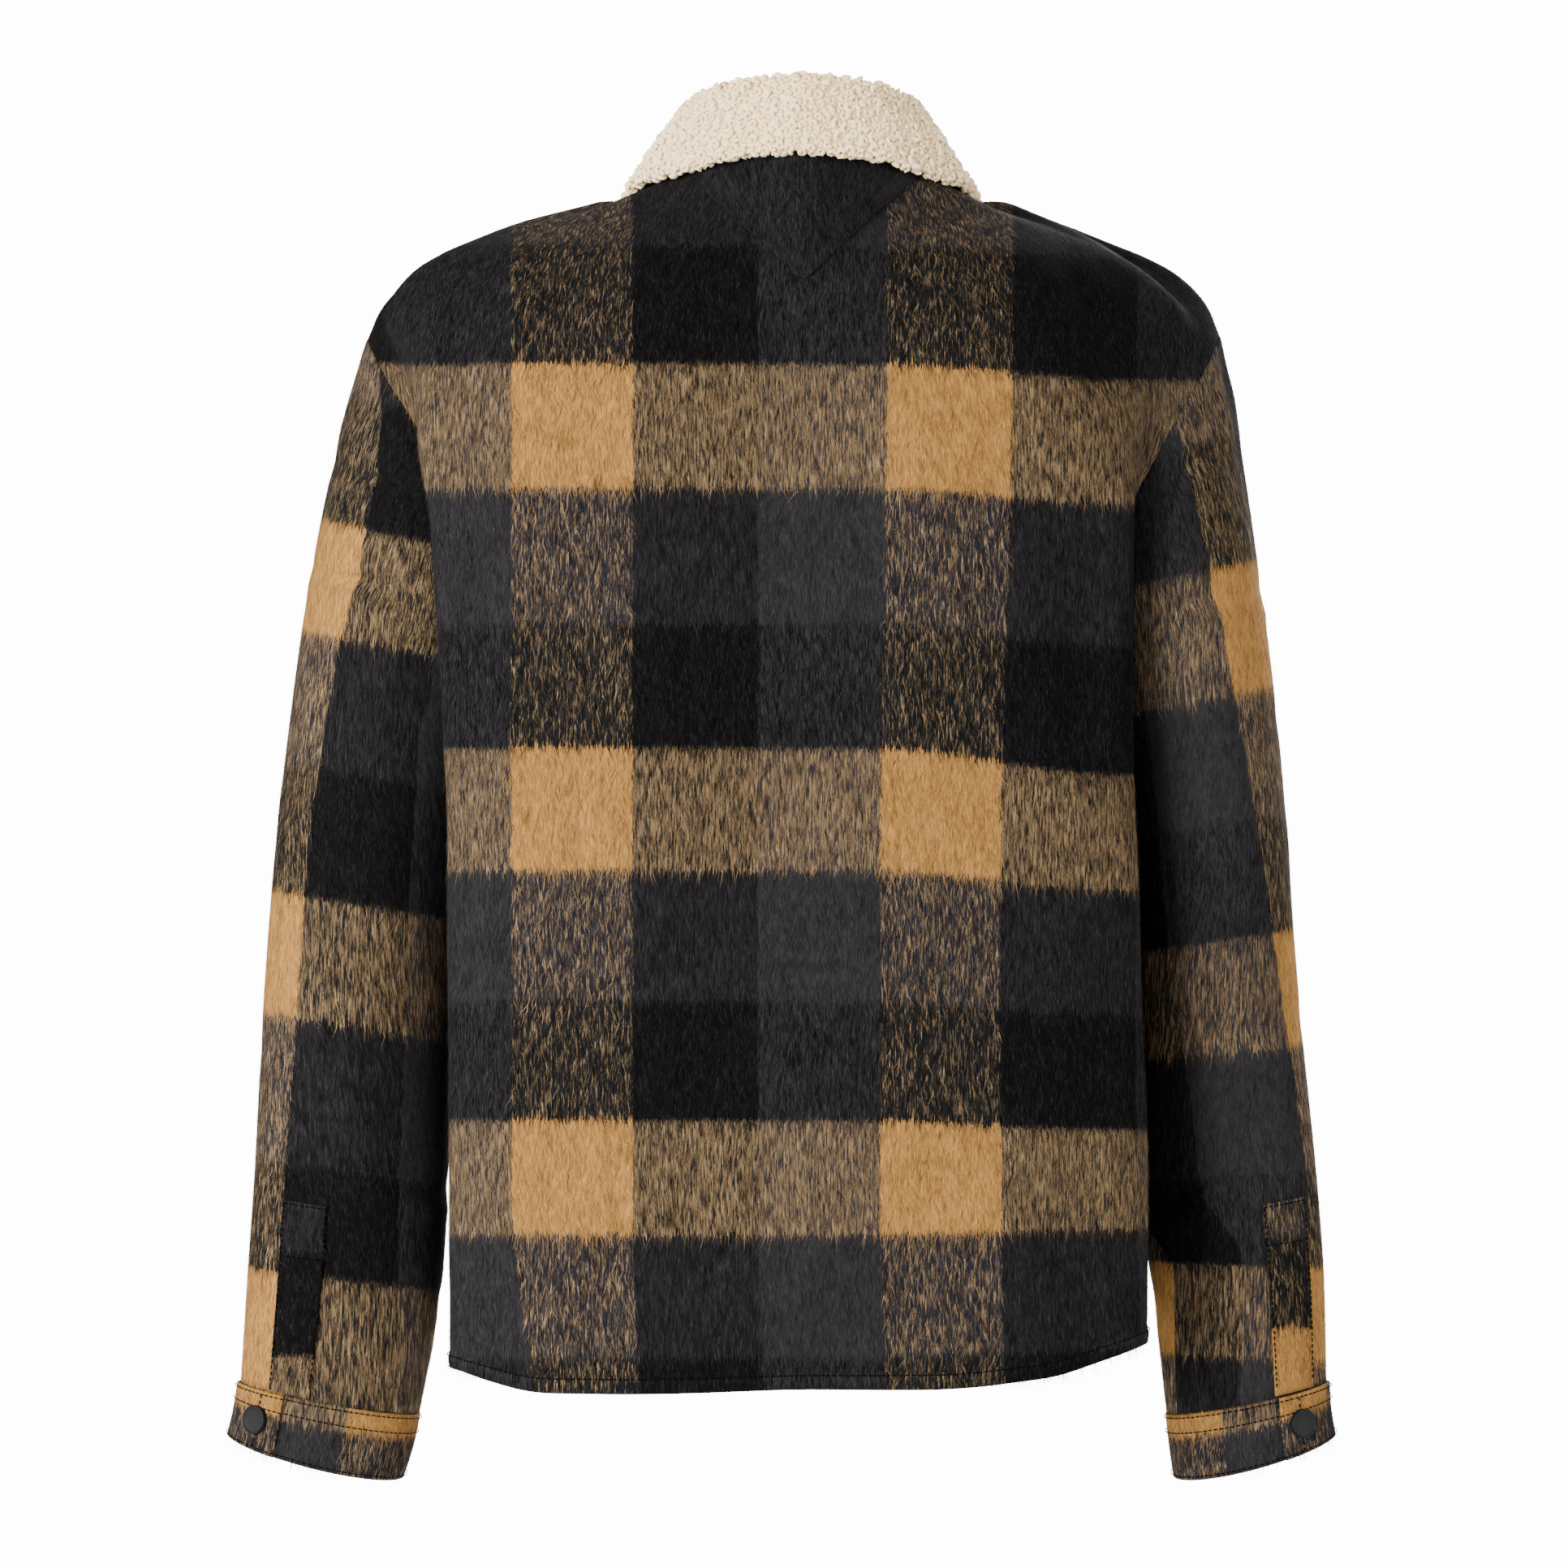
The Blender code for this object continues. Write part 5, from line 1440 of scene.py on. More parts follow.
def curl_tree(made_of):
    """Teddy curls on a surface: short bent tubes, turned every way, at an even spacing."""
    tree, names, start, end = node_tree(
        "teddy_curls", ("Spacing", "NodeSocketFloat"), ("Curl", "NodeSocketFloat"),
        ("Thickness", "NodeSocketFloat"), ("Seed", "NodeSocketInt"),
    )
    spread = tree.nodes.new("GeometryNodeDistributePointsOnFaces")
    spread.distribute_method = "POISSON"
    spread.inputs["Density Max"].default_value = CURL_DENSITY
    arc = tree.nodes.new("GeometryNodeCurveArc")
    arc.inputs["Resolution"].default_value = CURL_POINTS
    arc.inputs["Sweep Angle"].default_value = CURL_SWEEP
    ring = tree.nodes.new("GeometryNodeCurvePrimitiveCircle")
    ring.inputs["Resolution"].default_value = CURL_SIDES
    tube = tree.nodes.new("GeometryNodeCurveToMesh")
    tube.inputs["Fill Caps"].default_value = True
    turn = tree.nodes.new("FunctionNodeRandomValue")
    turn.data_type = "FLOAT_VECTOR"
    turn.inputs[0].default_value = (-CURL_TILT, -CURL_TILT, 0.0)
    turn.inputs[1].default_value = (CURL_TILT, CURL_TILT, 2 * math.pi)
    lay = tree.nodes.new("FunctionNodeRotateRotation")
    lay.rotation_space = "LOCAL"
    size = tree.nodes.new("FunctionNodeRandomValue")
    size.data_type = "FLOAT"
    size.inputs[2].default_value, size.inputs[3].default_value = CURL_SIZES
    copies = tree.nodes.new("GeometryNodeInstanceOnPoints")
    link(tree, start.outputs["Geometry"], spread.inputs["Mesh"])
    link(tree, start.outputs["Spacing"], spread.inputs["Distance Min"])
    link(tree, start.outputs["Seed"], spread.inputs["Seed"])
    link(tree, start.outputs["Curl"], arc.inputs["Radius"])
    link(tree, start.outputs["Thickness"], ring.inputs["Radius"])
    link(tree, arc.outputs[0], tube.inputs["Curve"])
    link(tree, ring.outputs[0], tube.inputs["Profile Curve"])
    link(tree, start.outputs["Seed"], turn.inputs["Seed"])
    link(tree, start.outputs["Seed"], size.inputs["Seed"])
    link(tree, spread.outputs["Points"], copies.inputs["Points"])
    link(tree, tube.outputs[0], copies.inputs["Instance"])
    link(tree, spread.outputs["Rotation"], lay.inputs["Rotation"])
    link(tree, turn.outputs[0], lay.inputs["Rotate By"])
    link(tree, lay.outputs[0], copies.inputs["Rotation"])
    link(tree, size.outputs[1], copies.inputs["Scale"])
    finish_tree(tree, copies.outputs[0], end, made_of)
    return tree, names


def grown(name, base, tree, names, values):
    """Runs a tree on a helper object and keeps its result as a plain mesh of its own."""
    modifier = base.modifiers.new("grow", "NODES")
    modifier.node_group = tree
    for label, value in values.items():
        modifier[names[label]] = value
    graph = bpy.context.evaluated_depsgraph_get()
    graph.update()
    mesh = bpy.data.meshes.new_from_object(base.evaluated_get(graph))
    mesh.name = name
    made = bpy.data.objects.new(name, mesh)
    bpy.context.scene.collection.objects.link(made)
    bpy.data.objects.remove(base, do_unlink=True)
    return made


def stitches(name, lines):
    """Rows of stitches along the given lines of points, as one piece."""
    look = bpy.context.scene.overshirt_stitch
    mesh = bpy.data.meshes.new(name + "_line")
    points, edges = [], []
    for line in lines:
        first = len(points)
        points.extend(map(tuple, line))
        edges.extend((first + k, first + k + 1) for k in range(len(line) - 1))
    mesh.from_pydata(points, edges, [])
    base = bpy.data.objects.new(name + "_line", mesh)
    bpy.context.scene.collection.objects.link(base)
    tree, names = stitch_tree(thread())
    values = {"Pitch": look.pitch, "Length": look.length, "Radius": look.radius}
    made = grown(name, base, tree, names, values)
    made.data.materials.clear()
    made.data.materials.append(thread())
    return made


def on_grid(panel, rows, columns, lift):
    """A line of points on a panel, at rows and columns that may fall between its own."""
    line = []
    for row, column in zip(rows, columns):
        out = at(panel.normals, row, column)
        line.append(at(panel.points, row, column) + out * lift / np.linalg.norm(out))
    return np.array(line)


def row_line(panel, row, lift, closed=False):
    """A line across a panel at one row."""
    columns = np.arange(panel.points.shape[1], dtype=float)
    line = on_grid(panel, [row] * len(columns), columns, lift)
    return np.concatenate((line, line[:1])) if closed else line


def front_strip():
    """The front placket strip, as a part of the left front's panel."""
    left = frame_panels()["front_left"]
    neck_row = len(left.points) - FRONT_PLACKET_NECK_ROWS
    return piece_on(left, between(FRONT_PLACKET_HEM_ROW, neck_row), FRONT_PLACKET_AT)


def heights_up(panel):
    """How far up the panel each of its rows lies."""
    return np.concatenate(([0.0], np.cumsum(steps_between(panel.points, 0).mean(axis=1))))


def row_at(panel, distance):
    """The row, counted from the first, at this distance up the panel."""
    heights = heights_up(panel)
    return float(np.interp(distance, heights, np.arange(len(heights))))


def dress(obj, node=None):
    """Every piece rides on the root and may stand for a node."""
    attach(obj, "root")
    if node:
        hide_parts(node)


def wool_piece(name, panel, check, lift=0.0, thickness=None, closed=False, extra=()):
    """A shell with its nap, dressed as the named node."""
    look = bpy.context.scene.overshirt_wool
    depth = look.wall if thickness is None else thickness
    share, seed = NAP[name]
    place = along_cloth(panel.points, closed, seed * GRAIN_SHIFT)
    body = shell(name + "_cloth", panel, depth, check, check_wool(), lift, closed, place)
    pieces = list(extra)
    dress(body, name)
    if share > 0:
        per_area = look.density * share
        hairs = nap(name + "_nap", panel, check, place, per_area, seed, check_wool(), lift, closed)
        dress(hairs)
        pieces.append(hairs)
    return body


def frame_panels():
    """The frame's own panels, worked out once."""
    if not PANELS:
        PANELS.update(body_panels())
    return PANELS


def hem_walls(panel):
    """The wall's thickness up a body panel: double in the hem, with a soft step above it."""
    look = bpy.context.scene.overshirt_wool
    step = smooth_step((look.hem_depth * HEM_STEP_TOP - heights_up(panel)) / (look.hem_depth * HEM_STEP))
    return look.wall + look.wall * step


def hem_roll(panel):
    """Pushes the cloth out over the rolled hem and in along its stitch row."""
    look = bpy.context.scene.overshirt_wool
    heights = heights_up(panel)
    middle, half = look.hem_depth * HEM_ROLL_MIDDLE, look.hem_depth * HEM_ROLL_HALF
    roll = HEM_ROLL * np.exp(-(((heights - middle) / half) ** 2))
    groove = -HEM_GROOVE * np.exp(-(((heights - look.hem_depth) / HEM_GROOVE_HALF) ** 2))
    raised = panel.points + panel.normals * (roll + groove)[:, None, None]
    return Panel(raised, panel.normals)


class OvershirtWool(bpy.types.PropertyGroup):
    """The check wool's sizes and colours."""

    wall: FloatProperty(
        name="Wall", description="Thickness of one layer of cloth",
        default=0.0022, min=0.0005, unit="LENGTH",
    )
    hem_depth: FloatProperty(
        name="Hem depth", description="Height of the hem's stitch row",
        default=0.008, min=0.002, unit="LENGTH",
    )
    density: FloatProperty(
        name="Nap density", description="Hairs on a square metre",
        default=400000.0, min=0.0,
    )
    length: FloatProperty(
        name="Hair length", description="Length of a brushed hair",
        default=0.0085, min=0.001, unit="LENGTH",
    )
    clear: FloatProperty(
        name="Clear edge", description="Height above the lower edge where hairs are short",
        default=0.003, min=0.0, unit="LENGTH",
    )
    width: FloatProperty(
        name="Hair width", description="Width of a lock of hairs",
        default=0.00040, min=0.0001, unit="LENGTH",
    )
    lift: FloatProperty(
        name="Hair lift", description="How far a hair stands off the cloth for its length",
        default=0.14, min=0.0,
    )
    sway: FloatProperty(
        name="Hair sway", description="How far hairs turn to the side",
        default=0.30, min=0.0,
    )
    sheen: FloatProperty(
        name="Sheen", description="Strength of the wool's sheen",
        default=0.008, min=0.0, max=1.0,
    )
    gloss: FloatProperty(
        name="Gloss", description="Specular level of the wool",
        default=0.015, min=0.0, max=1.0,
    )
    row_share: FloatProperty(
        name="Row share",
        description="How much a camel row shows where it crosses a dark column, as a noise level",
        default=0.478,
    )
    column_share: FloatProperty(
        name="Column share", description="How much a dark row hides a camel column, as a noise level",
        default=0.085,
    )
    black_share: FloatProperty(
        name="Black share", description="How much more a black row hides a camel column",
        default=0.022,
    )
    fibre: FloatProperty(
        name="Light fibres", description="Brightness of the pale fibres on top",
        default=0.007, min=0.0,
    )
    softness: FloatProperty(
        name="Softness", description="How softly crossed colours run into each other",
        default=0.17, min=0.01,
    )
    camel: FloatVectorProperty(
        name="Camel", description="Colour of the camel yarn",
        subtype="COLOR", default=(0.210, 0.105, 0.029), min=0.0, max=1.0,
    )
    charcoal: FloatVectorProperty(
        name="Charcoal", description="Colour of the charcoal yarn",
        subtype="COLOR", default=(0.0128, 0.0121, 0.0128), min=0.0, max=1.0,
    )
    black: FloatVectorProperty(
        name="Black", description="Colour of the black yarn",
        subtype="COLOR", default=(0.0027, 0.0024, 0.0025), min=0.0, max=1.0,
    )
    crossed_camel: FloatVectorProperty(
        name="Crossed camel", description="Colour of camel hairs over a dark yarn",
        subtype="COLOR", default=(0.172, 0.111, 0.053), min=0.0, max=1.0,
    )
    crossed_charcoal: FloatVectorProperty(
        name="Crossed charcoal", description="Colour of charcoal under camel hairs",
        subtype="COLOR", default=(0.0100, 0.0096, 0.0118), min=0.0, max=1.0,
    )
    crossed_black: FloatVectorProperty(
        name="Crossed black", description="Colour of black under camel hairs",
        subtype="COLOR", default=(0.0044, 0.0048, 0.0050), min=0.0, max=1.0,
    )


class OvershirtTeddy(bpy.types.PropertyGroup):
    """The teddy collar's sizes and colours."""

    spacing: FloatProperty(
        name="Spacing", description="Least distance between two curls",
        default=0.0044, min=0.001, unit="LENGTH",
    )
    curl: FloatProperty(
        name="Curl", description="Radius of a curl's bend",
        default=0.0021, min=0.0003, unit="LENGTH",
    )
    thickness: FloatProperty(
        name="Thickness", description="Radius of a curl's strand",
        default=0.00150, min=0.0002, unit="LENGTH",
    )
    seed: IntProperty(name="Seed", description="Seed of the curls' places", default=4, min=0)
    colour: FloatVectorProperty(
        name="Cream", description="Colour of the curls",
        subtype="COLOR", default=(0.97, 0.78, 0.46), min=0.0, max=1.0,
    )
    ground: FloatVectorProperty(
        name="Ground", description="Colour between the curls",
        subtype="COLOR", default=(0.86, 0.60, 0.32), min=0.0, max=1.0,
    )


class OvershirtStitch(bpy.types.PropertyGroup):
    """The topstitching's sizes."""

    pitch: FloatProperty(
        name="Pitch", description="Distance from one stitch to the next",
        default=0.0034, min=0.001, unit="LENGTH",
    )
    length: FloatProperty(
        name="Length", description="Length of a stitch",
        default=0.0027, min=0.0005, unit="LENGTH",
    )
    radius: FloatProperty(
        name="Radius", description="Radius of the thread",
        default=0.00042, min=0.0001, unit="LENGTH",
    )
    lift: FloatProperty(
        name="Lift", description="Height of the thread above the cloth",
        default=0.0009, min=0.0, unit="LENGTH",
    )


class OvershirtStage(bpy.types.PropertyGroup):
    """The floor and the lights."""

    floor_z: FloatProperty(
        name="Floor height", description="Height of the floor below the neck",
        default=-0.95, unit="LENGTH",
    )
    floor_radius: FloatProperty(
        name="Floor radius", description="Radius of the floor",
        default=0.9, min=0.1, unit="LENGTH",
    )
    key_power: FloatProperty(
        name="Key light", description="Power of the large light behind the camera",
        default=345.0, min=0.0, unit="POWER",
    )
    fill_power: FloatProperty(
        name="Fill light", description="Power of each side light",
        default=70.0, min=0.0, unit="POWER",
    )
    sky: FloatProperty(
        name="Sky", description="Strength of the pale light all round",
        default=1.35, min=0.0,
    )
    sky_fall: FloatProperty(
        name="Sky fall", description="How much darker the light from above is",
        default=0.72, min=0.0, max=1.0,
    )
    backdrop: FloatProperty(
        name="Backdrop", description="Brightness of the white background",
        default=14.0, min=0.0,
    )


class OVERSHIRT_OT_back(bpy.types.Operator):
    """Makes the back in check wool, with its folds, rolled hem and nap"""

    bl_idname = "overshirt.back"
    bl_label = "Back"

    def execute(self, context):
        points = finer(frame_panels()["back"].points, BACK_FINE)
        panel = facing(points, away_from_axis)
        fade = edge_fade(points.shape[:2], sides=True, top=True, bottom=False)
        panel = hem_roll(folded(panel, BACK_FOLDS, fade))
        check = back_check(points)
        row = row_at(panel, context.scene.overshirt_wool.hem_depth)
        line = stitches("back_hem_stitches", [row_line(panel, row, context.scene.overshirt_stitch.lift)])
        dress(line)
        body = wool_piece("back", panel, check, thickness=hem_walls(panel), extra=[line])
        PLACED["back"] = body
        return {"FINISHED"}


class OVERSHIRT_OT_fronts(bpy.types.Operator):
    """Makes both fronts, the front placket and their stitches"""

    bl_idname = "overshirt.fronts"
    bl_label = "Fronts"

    def execute(self, context):
        lift = context.scene.overshirt_stitch.lift
        depth = context.scene.overshirt_wool.hem_depth
        for side in ("left", "right"):
            name = "front_" + side
            points = finer(frame_panels()[name].points, FRONT_FINE)
            panel = facing(points, away_from_axis)
            fade = edge_fade(points.shape[:2], sides=True, top=True, bottom=False)
            panel = hem_roll(folded(panel, FRONT_FOLDS, fade))
            line = stitches(name + "_hem_stitches", [row_line(panel, row_at(panel, depth), lift)])
            dress(line)
            PLACED[name] = wool_piece(
                name, panel, front_check(points), thickness=hem_walls(panel), extra=[line]
            )
        panel = facing(finer(front_strip().points, STRIP_FINE), away_from_axis)
        last = panel.points.shape[1] - 1
        rows = np.arange(len(panel.points), dtype=float)
        height = lift + LIE_GAP + PATCH_WALL
        lines = [
            on_grid(panel, rows, [column] * len(rows), height)
            for column in (FRONT_STITCH_IN, last - FRONT_STITCH_IN)
        ]
        seams = stitches("front_placket_stitches", lines)
        dress(seams)
        wool_piece(
            "front_placket", panel, front_check(panel.points),
            lift=LIE_GAP + PATCH_WALL, thickness=PATCH_WALL, extra=[seams],
        )
        return {"FINISHED"}


class OVERSHIRT_OT_sleeves(bpy.types.Operator):
    """Makes both sleeves with their folds and nap, and their plackets"""

    bl_idname = "overshirt.sleeves"
    bl_label = "Sleeves"

    def execute(self, context):
        lift = context.scene.overshirt_stitch.lift
        for side in ("left", "right"):
            name = "sleeve_" + side
            coarse = frame_panels()[name]
            points = finer(coarse.points, SLEEVE_FINE, closed=True)
            points = np.roll(points, points.shape[1] // 2, axis=1)
            panel = Panel(points, grid_normals(points, True))
            arm = points.mean(axis=1, keepdims=True)
            if np.mean(np.sum(panel.normals * (points - arm), axis=-1)) < 0:
                panel = Panel(points, -panel.normals)
            fade = edge_fade(points.shape[:2], sides=False, top=True, bottom=True)
            panel = folded(panel, SLEEVE_FOLDS[side], fade, closed=True)
            check = sleeve_check(with_wrap(points, True), side)
            wool_piece(name, panel, check, closed=True)
            strip = piece_on(coarse, between(*PLACKET_RINGS), between(*PLACKET_AT[side]))
            points = finer(strip.points, STRIP_FINE)
            strip = facing(points, lambda point, s=side: (side_sign(s), 1.0, 0.0))
            height = LIE_GAP + PATCH_WALL
            rows = np.arange(len(points), dtype=float)
            last = points.shape[1] - 1
            _, down = seen(points[:, 0])
            box_row = float(np.interp(BOX_STITCH_AT[side], down, rows))
            lines = [
                on_grid(strip, rows[1:-1], [column] * (len(rows) - 2), height + lift)
                for column in (STITCH_IN, last - STITCH_IN)
            ]
            lines += [row_line(strip, row, height + lift)[1:-1] for row in (box_row, STITCH_IN)]
            seams = stitches("sleeve_placket_stitches_" + side, lines)
            dress(seams)
            wool_piece(
                "sleeve_placket_" + side, strip, placket_check(points, side),
                lift=height, thickness=PATCH_WALL, extra=[seams],
            )
        return {"FINISHED"}


class OVERSHIRT_OT_cuffs(bpy.types.Operator):
    """Makes both cuffs with their stitch rows"""

    bl_idname = "overshirt.cuffs"
    bl_label = "Cuffs"

    def execute(self, context):
        lift = context.scene.overshirt_stitch.lift
        for side in ("left", "right"):
            rings = placed(cuff_rings(side), side)
            points = finer(rings, CUFF_FINE)
            panel = facing(points, lambda point, middle=rings.mean(axis=(0, 1)): point - middle)
            last_row, last = len(points) - 1, points.shape[1] - 1
            rows = np.arange(1, last_row, dtype=float)
            lines = [row_line(panel, row_at(panel, height), lift) for height in CUFF_STITCH_HEIGHTS]
            lines.append(row_line(panel, last_row - CUFF_EDGE_STITCH, lift))
            lines.append(on_grid(panel, rows, [last - LAP_STITCH_COLUMNS[side]] * len(rows), lift))
            seams = stitches("cuff_stitches_" + side, lines)
            dress(seams)
            wool_piece("cuff_" + side, panel, cuff_check(points, side), extra=[seams])
        return {"FINISHED"}


class OVERSHIRT_OT_neck_patch(bpy.types.Operator):
    """Makes the V patch on the back, below the collar"""

    bl_idname = "overshirt.neck_patch"
    bl_label = "Neck patch"

    def execute(self, context):
        surface = surfaces_under(("back",))[0]
        edge = frame_panels()["back"].points[-1]
        order = np.argsort(edge[:, 0])
        rows, columns = PATCH_GRID
        points = np.empty((rows, columns, 3))
        for j, share in enumerate(np.linspace(-1.0, 1.0, columns)):
            x = NECK_LEAN + share * PATCH_HALF_WIDTH
            low = PATCH_TIP_Z + max(0.0, abs(share) * PATCH_HALF_WIDTH - PATCH_TIP_WIDTH)
            high = float(np.interp(x, edge[order, 0], edge[order, 2])) - PATCH_TOP_GAP
            for i, z in enumerate(np.linspace(low, high, rows)):
                hit = surface.ray_cast(Vector((x, PATCH_SENT_FROM, z)), Vector((0.0, -1.0, 0.0)))[0]
                points[i, j] = hit
        panel = facing(points, away_from_axis)
        PLACED["neck_patch"] = wool_piece(
            "neck_patch", panel, plain_check(points.shape, *PATCH_CHECK),
            lift=LIE_GAP + PATCH_WALL, thickness=PATCH_WALL,
        )
        return {"FINISHED"}


class OVERSHIRT_OT_collar(bpy.types.Operator):
    """Makes the teddy collar with its curls, and the wool under it"""

    bl_idname = "overshirt.collar"
    bl_label = "Collar"

    def execute(self, context):
        look = context.scene.overshirt_teddy
        points = finer(collar_panel().points, COLLAR_FINE)
        panel = facing(points, lambda point: (point[0], point[1], 1.0))
        depth = TEDDY_WALL + COLLAR_GAP + UNDER_COLLAR_WALL
        points = let_down(points, panel.normals, depth)
        panel = facing(points, lambda point: (point[0], point[1], 1.0))
        bumps = np.sin(points[..., 0] * PILE_WAVES[0]) * np.sin(points[..., 2] * PILE_WAVES[1])
        height = -TEDDY_DEPTH + PILE_BUMP * bumps
        ground = Panel(points + panel.normals * height[..., None], panel.normals)
        check = plain_check(points.shape, *PILE_CHECK)
        body = shell("collar_pile", ground, TEDDY_WALL - TEDDY_DEPTH, check, teddy_pile())
        dress(body, "collar_teddy")
        raised = ground.points + panel.normals * look.thickness * CURL_RAISE
        inward, down = -panel.normals[-1], unit(raised[-1] - raised[-2])
        rim = [raised[-1] + down * out + inward * deep for out, deep in COLLAR_RIM]
        raised = np.concatenate((raised, rim))
        rows, columns = raised.shape[:2]
        i, j = np.meshgrid(np.arange(rows - 1), np.arange(columns - 1), indexing="ij")
        first, next_row = i * columns + j, (i + 1) * columns + j
        quads = np.stack((first, first + 1, next_row + 1, next_row), -1)
        base = new_object("collar_curl_ground", raised.reshape(-1, 3), quads.reshape(-1, 4), teddy_pile())
        tree, names = curl_tree(teddy_pile())
        values = {"Spacing": look.spacing, "Curl": look.curl, "Thickness": look.thickness, "Seed": look.seed}
        curls = grown("collar_curls", base, tree, names, values)
        curls.data.materials.clear()
        curls.data.materials.append(teddy_pile())
        dress(curls)
        under = Panel(points, panel.normals)
        wool_piece(
            "under_collar", under, plain_check(points.shape, *UNDER_COLLAR_CHECK),
            lift=-(TEDDY_WALL + COLLAR_GAP), thickness=UNDER_COLLAR_WALL,
        )
        return {"FINISHED"}


def turned_cap(name, point, normal, node):
    """A snap's cap: a turned disc with a rounded rim and a shallow dish, set on the cloth."""
    inner = SNAP_RADIUS - SNAP_RIM
    profile = [(inner * out, SNAP_DISH_HEIGHT * up) for out, up in SNAP_FACE]
    for angle in np.radians(SNAP_RIM_ANGLES):
        middle = SNAP_RADIUS - SNAP_RIM / 2
        rise = SNAP_HEIGHT - SNAP_SIDE_HEIGHT
        profile.append((middle + SNAP_RIM / 2 * math.cos(angle), SNAP_SIDE_HEIGHT + rise * math.sin(angle)))
    profile += [(SNAP_RADIUS, 0.0), (0.0, 0.0)]
    steps = SNAP_SIDES
    frame_turn = Vector(normal).to_track_quat("Z", "Y").to_matrix()
    turns = np.arange(steps) * (2 * math.pi / steps)
    rings = np.array(
        [np.stack((r * np.cos(turns), r * np.sin(turns), np.full(steps, h)), -1) for r, h in profile[1:-1]]
    )
    vertices = rings.reshape(-1, 3)
    vertices = np.concatenate((vertices, [(0.0, 0.0, profile[0][1]), (0.0, 0.0, 0.0)]))
    vertices = vertices @ np.array(frame_turn).T + np.array(point) + np.array(normal) * LIE_GAP
    faces = []
    for i in range(len(rings) - 1):
        for j in range(steps):
            k = (j + 1) % steps
            a, b = i * steps + j, i * steps + k
            faces += [(a, a + steps, b), (b, a + steps, b + steps)]
    top, bottom, last = len(rings) * steps, len(rings) * steps + 1, (len(rings) - 1) * steps
    for j in range(steps):
        k = (j + 1) % steps
        faces += [(top, j, k), (bottom, last + k, last + j)]
    cap = new_object(name, vertices, faces, snap_paint())
    cap.data.set_sharp_from_angle(angle=SNAP_SHARP)
    dress(cap, node)


class OVERSHIRT_OT_snaps(bpy.types.Operator):
    """Makes the matt black snap caps of the front and the cuffs"""

    bl_idname = "overshirt.snaps"
    bl_label = "Snaps"

    def execute(self, context):
        for side in ("left", "right"):
            rings = placed(cuff_rings(side), side)
            cuff = facing(rings, lambda point, middle=rings.mean(axis=(0, 1)): point - middle)
            turn = (CUFF_SNAP_AT[side] - CUFF_LAP_START + RING_POINTS) * (cuff.points.shape[1] - 1)
            column = turn / (RING_POINTS + CUFF_LAP[side])
            normal = unit(at(cuff.normals, CUFF_SNAP_ROW, column))
            point = at(cuff.points, CUFF_SNAP_ROW, column)
            turned_cap("cuff_snap_cap_" + side, point, normal, "cuff_snap_" + side)
        strip = front_strip()
        heights = [at(strip.points, row, FRONT_SNAP_COLUMN)[2] for row in range(len(strip.points))]
        for index in range(FRONT_SNAP_COUNT):
            level = FRONT_SNAP_TOP - index * FRONT_SNAP_PITCH
            row = float(np.interp(level, heights, np.arange(len(heights))))
            normal = unit(at(strip.normals, row, FRONT_SNAP_COLUMN))
            point = at(strip.points, row, FRONT_SNAP_COLUMN) + normal * (LIE_GAP + PATCH_WALL)
            turned_cap(f"front_snap_cap_{index + 1}", point, normal, f"front_snap_{index + 1}")
        return {"FINISHED"}


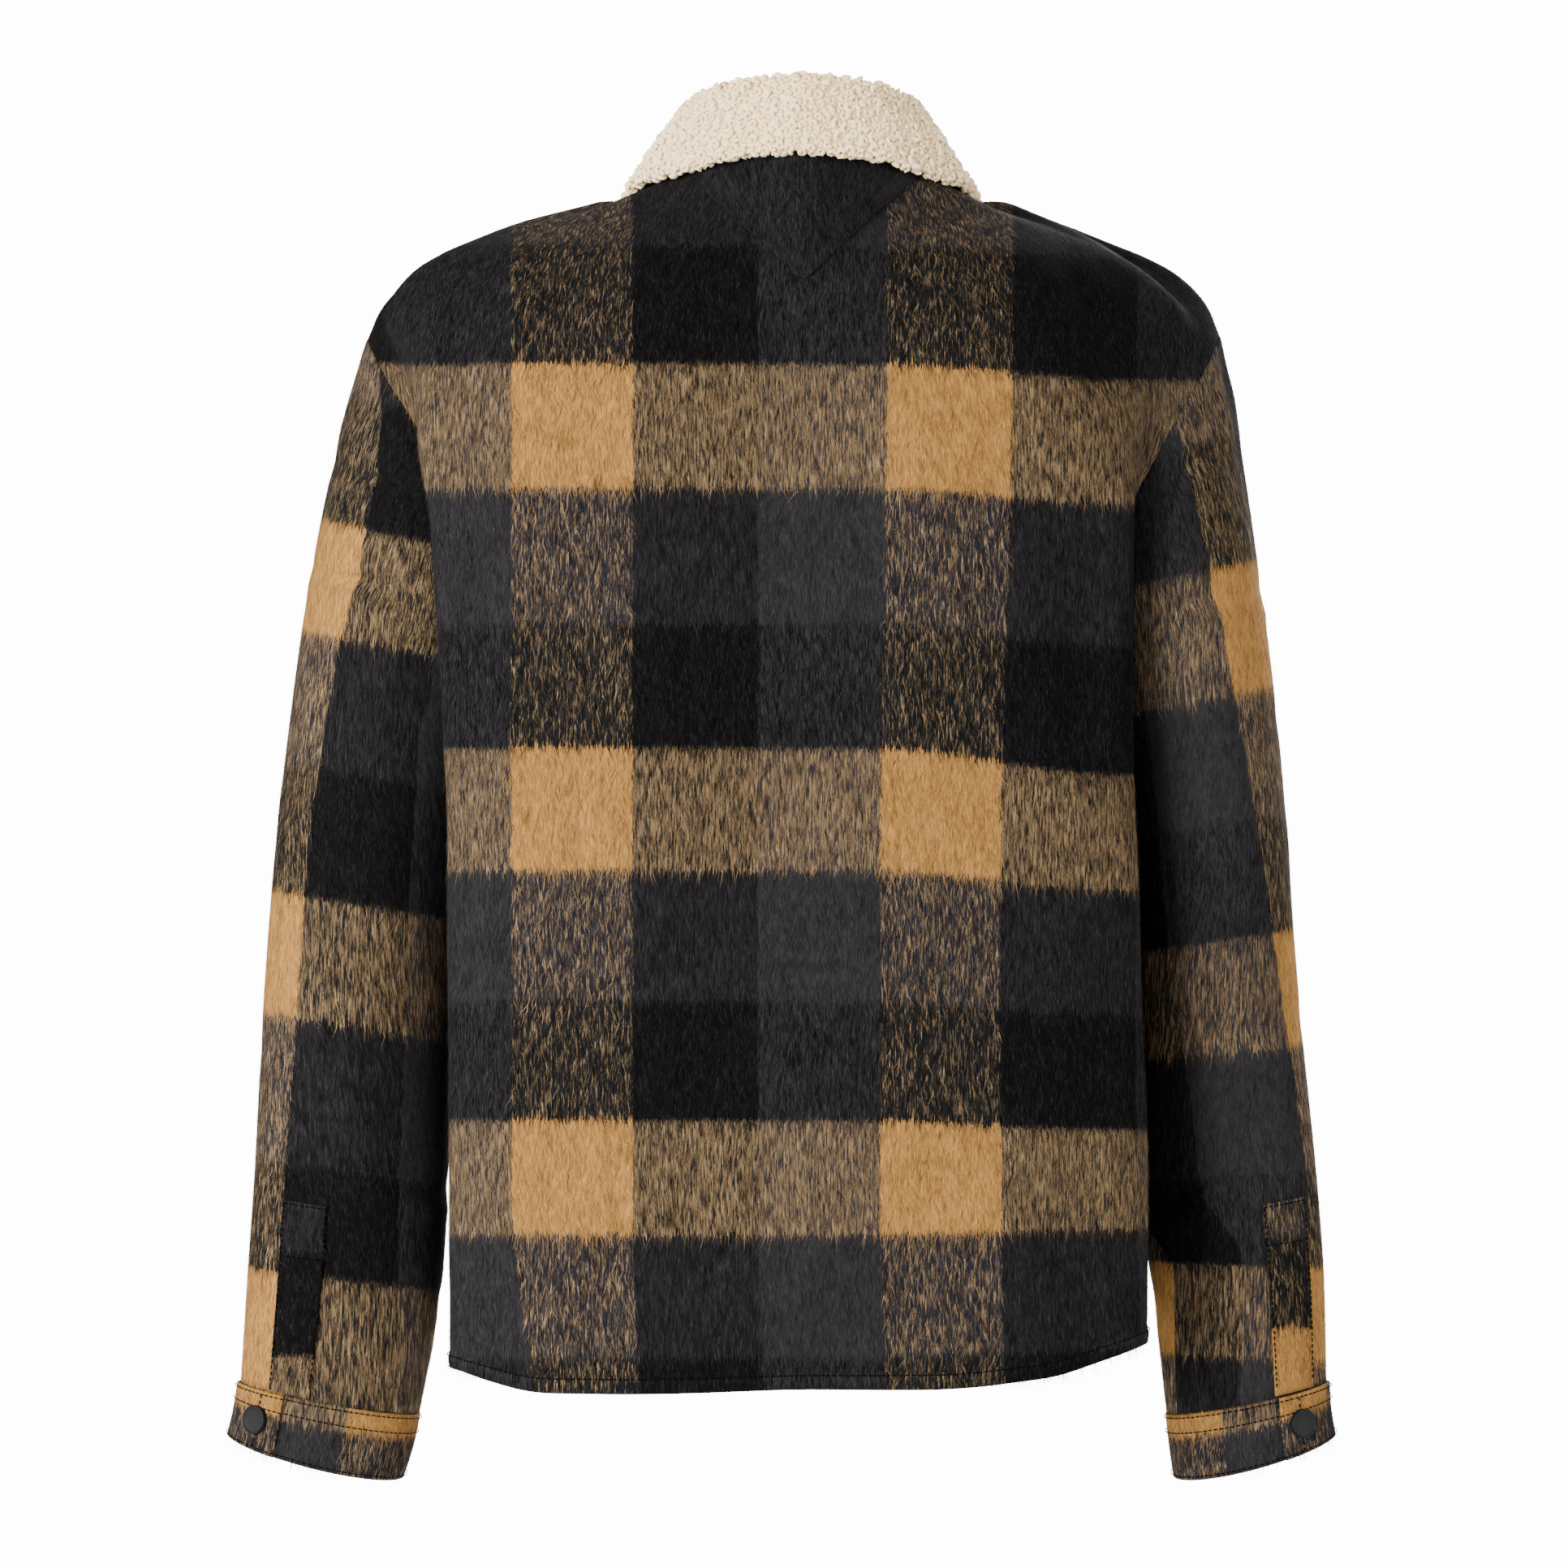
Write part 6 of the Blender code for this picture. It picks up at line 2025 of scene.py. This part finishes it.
class OVERSHIRT_OT_stage(bpy.types.Operator):
    """Makes the pale floor, the soft lights and the camera"""

    bl_idname = "overshirt.stage"
    bl_label = "Stage"

    def execute(self, context):
        look = context.scene.overshirt_stage
        steps = FLOOR_SIDES
        turns = np.arange(steps) * (2 * math.pi / steps)
        ring = np.stack((np.cos(turns), np.sin(turns), 0 * turns), -1) * look.floor_radius
        vertices = np.concatenate((ring, [(0.0, 0.0, 0.0)])) + (0.0, 0.0, look.floor_z)
        faces = [(steps, k, (k + 1) % steps) for k in range(steps)]
        paint = plain_material("pale_floor", FLOOR_COLOUR, *FLOOR_FINISH)
        floor = new_object("floor", vertices, faces, paint)
        world = context.scene.world or bpy.data.worlds.new("pale_sky")
        context.scene.world = world
        world.use_nodes = True
        sky = world.node_tree.nodes["Background"]
        sky.inputs["Color"].default_value = (1.0, 1.0, 1.0, 1.0)
        tree = world.node_tree
        split = add_node(tree, "ShaderNodeSeparateXYZ")
        link(tree, add_node(tree, "ShaderNodeTexCoord").outputs["Generated"], split.inputs[0])
        overhead = maths(tree, "MULTIPLY", maths(tree, "MAXIMUM", split.outputs[2], 0.0), -look.sky_fall)
        light = maths(tree, "MULTIPLY", maths(tree, "ADD", overhead, 1.0), look.sky)
        path = add_node(tree, "ShaderNodeLightPath").outputs["Is Camera Ray"]
        bright = maths(tree, "MULTIPLY", path, look.backdrop)
        link(tree, maths(tree, "MAXIMUM", bright, light), sky.inputs["Strength"])
        for name, power, size, place in LIGHTS:
            light = bpy.data.lights.new(name, "AREA")
            light.energy = getattr(look, power)
            light.size = size
            lamp = bpy.data.objects.new(name, light)
            lamp.location = place
            aim = Vector(LIGHTS_AIM) - Vector(place)
            lamp.rotation_euler = aim.to_track_quat("-Z", "Y").to_euler()
            context.scene.collection.objects.link(lamp)
        camera = bpy.data.cameras.new("picture_camera")
        camera.lens = CAMERA_LENS
        camera.sensor_width = CAMERA_SENSOR
        viewer = bpy.data.objects.new("picture_camera", camera)
        viewer.location = CAMERA_AT
        viewer.rotation_euler = (math.pi / 2, 0.0, math.pi)
        context.scene.collection.objects.link(viewer)
        context.scene.camera = viewer
        return {"FINISHED"}


class OVERSHIRT_PT_panel(bpy.types.Panel):
    """Lists the overshirt's pieces and sizes"""

    bl_idname = "OVERSHIRT_PT_panel"
    bl_label = "Teddy collar overshirt"
    bl_space_type = "VIEW_3D"
    bl_region_type = "UI"
    bl_category = "Overshirt"

    def draw(self, context):
        for step in STEPS:
            self.layout.operator(step.bl_idname)
        for settings in ("overshirt_wool", "overshirt_teddy", "overshirt_stitch", "overshirt_stage"):
            group = getattr(context.scene, settings)
            box = self.layout.box()
            for name in group.__annotations__:
                box.prop(group, name)


PANELS = {}
PLACED = {}
STEPS = (
    OVERSHIRT_OT_back,
    OVERSHIRT_OT_fronts,
    OVERSHIRT_OT_sleeves,
    OVERSHIRT_OT_cuffs,
    OVERSHIRT_OT_neck_patch,
    OVERSHIRT_OT_collar,
    OVERSHIRT_OT_snaps,
    OVERSHIRT_OT_stage,
)
GROUPS = {
    "overshirt_wool": OvershirtWool,
    "overshirt_teddy": OvershirtTeddy,
    "overshirt_stitch": OvershirtStitch,
    "overshirt_stage": OvershirtStage,
}
CLASSES = (*GROUPS.values(), *STEPS, OVERSHIRT_PT_panel)


def register():
    for made in CLASSES:
        bpy.utils.register_class(made)
    for name, group in GROUPS.items():
        setattr(bpy.types.Scene, name, PointerProperty(type=group))


def unregister():
    for name in GROUPS:
        delattr(bpy.types.Scene, name)
    for made in reversed(CLASSES):
        bpy.utils.unregister_class(made)


def main():
    register()
    bpy.ops.overshirt.back()
    bpy.ops.overshirt.fronts()
    bpy.ops.overshirt.sleeves()
    bpy.ops.overshirt.cuffs()
    bpy.ops.overshirt.neck_patch()
    bpy.ops.overshirt.collar()
    bpy.ops.overshirt.snaps()
    bpy.ops.overshirt.stage()


if __name__ == "__main__":
    main()
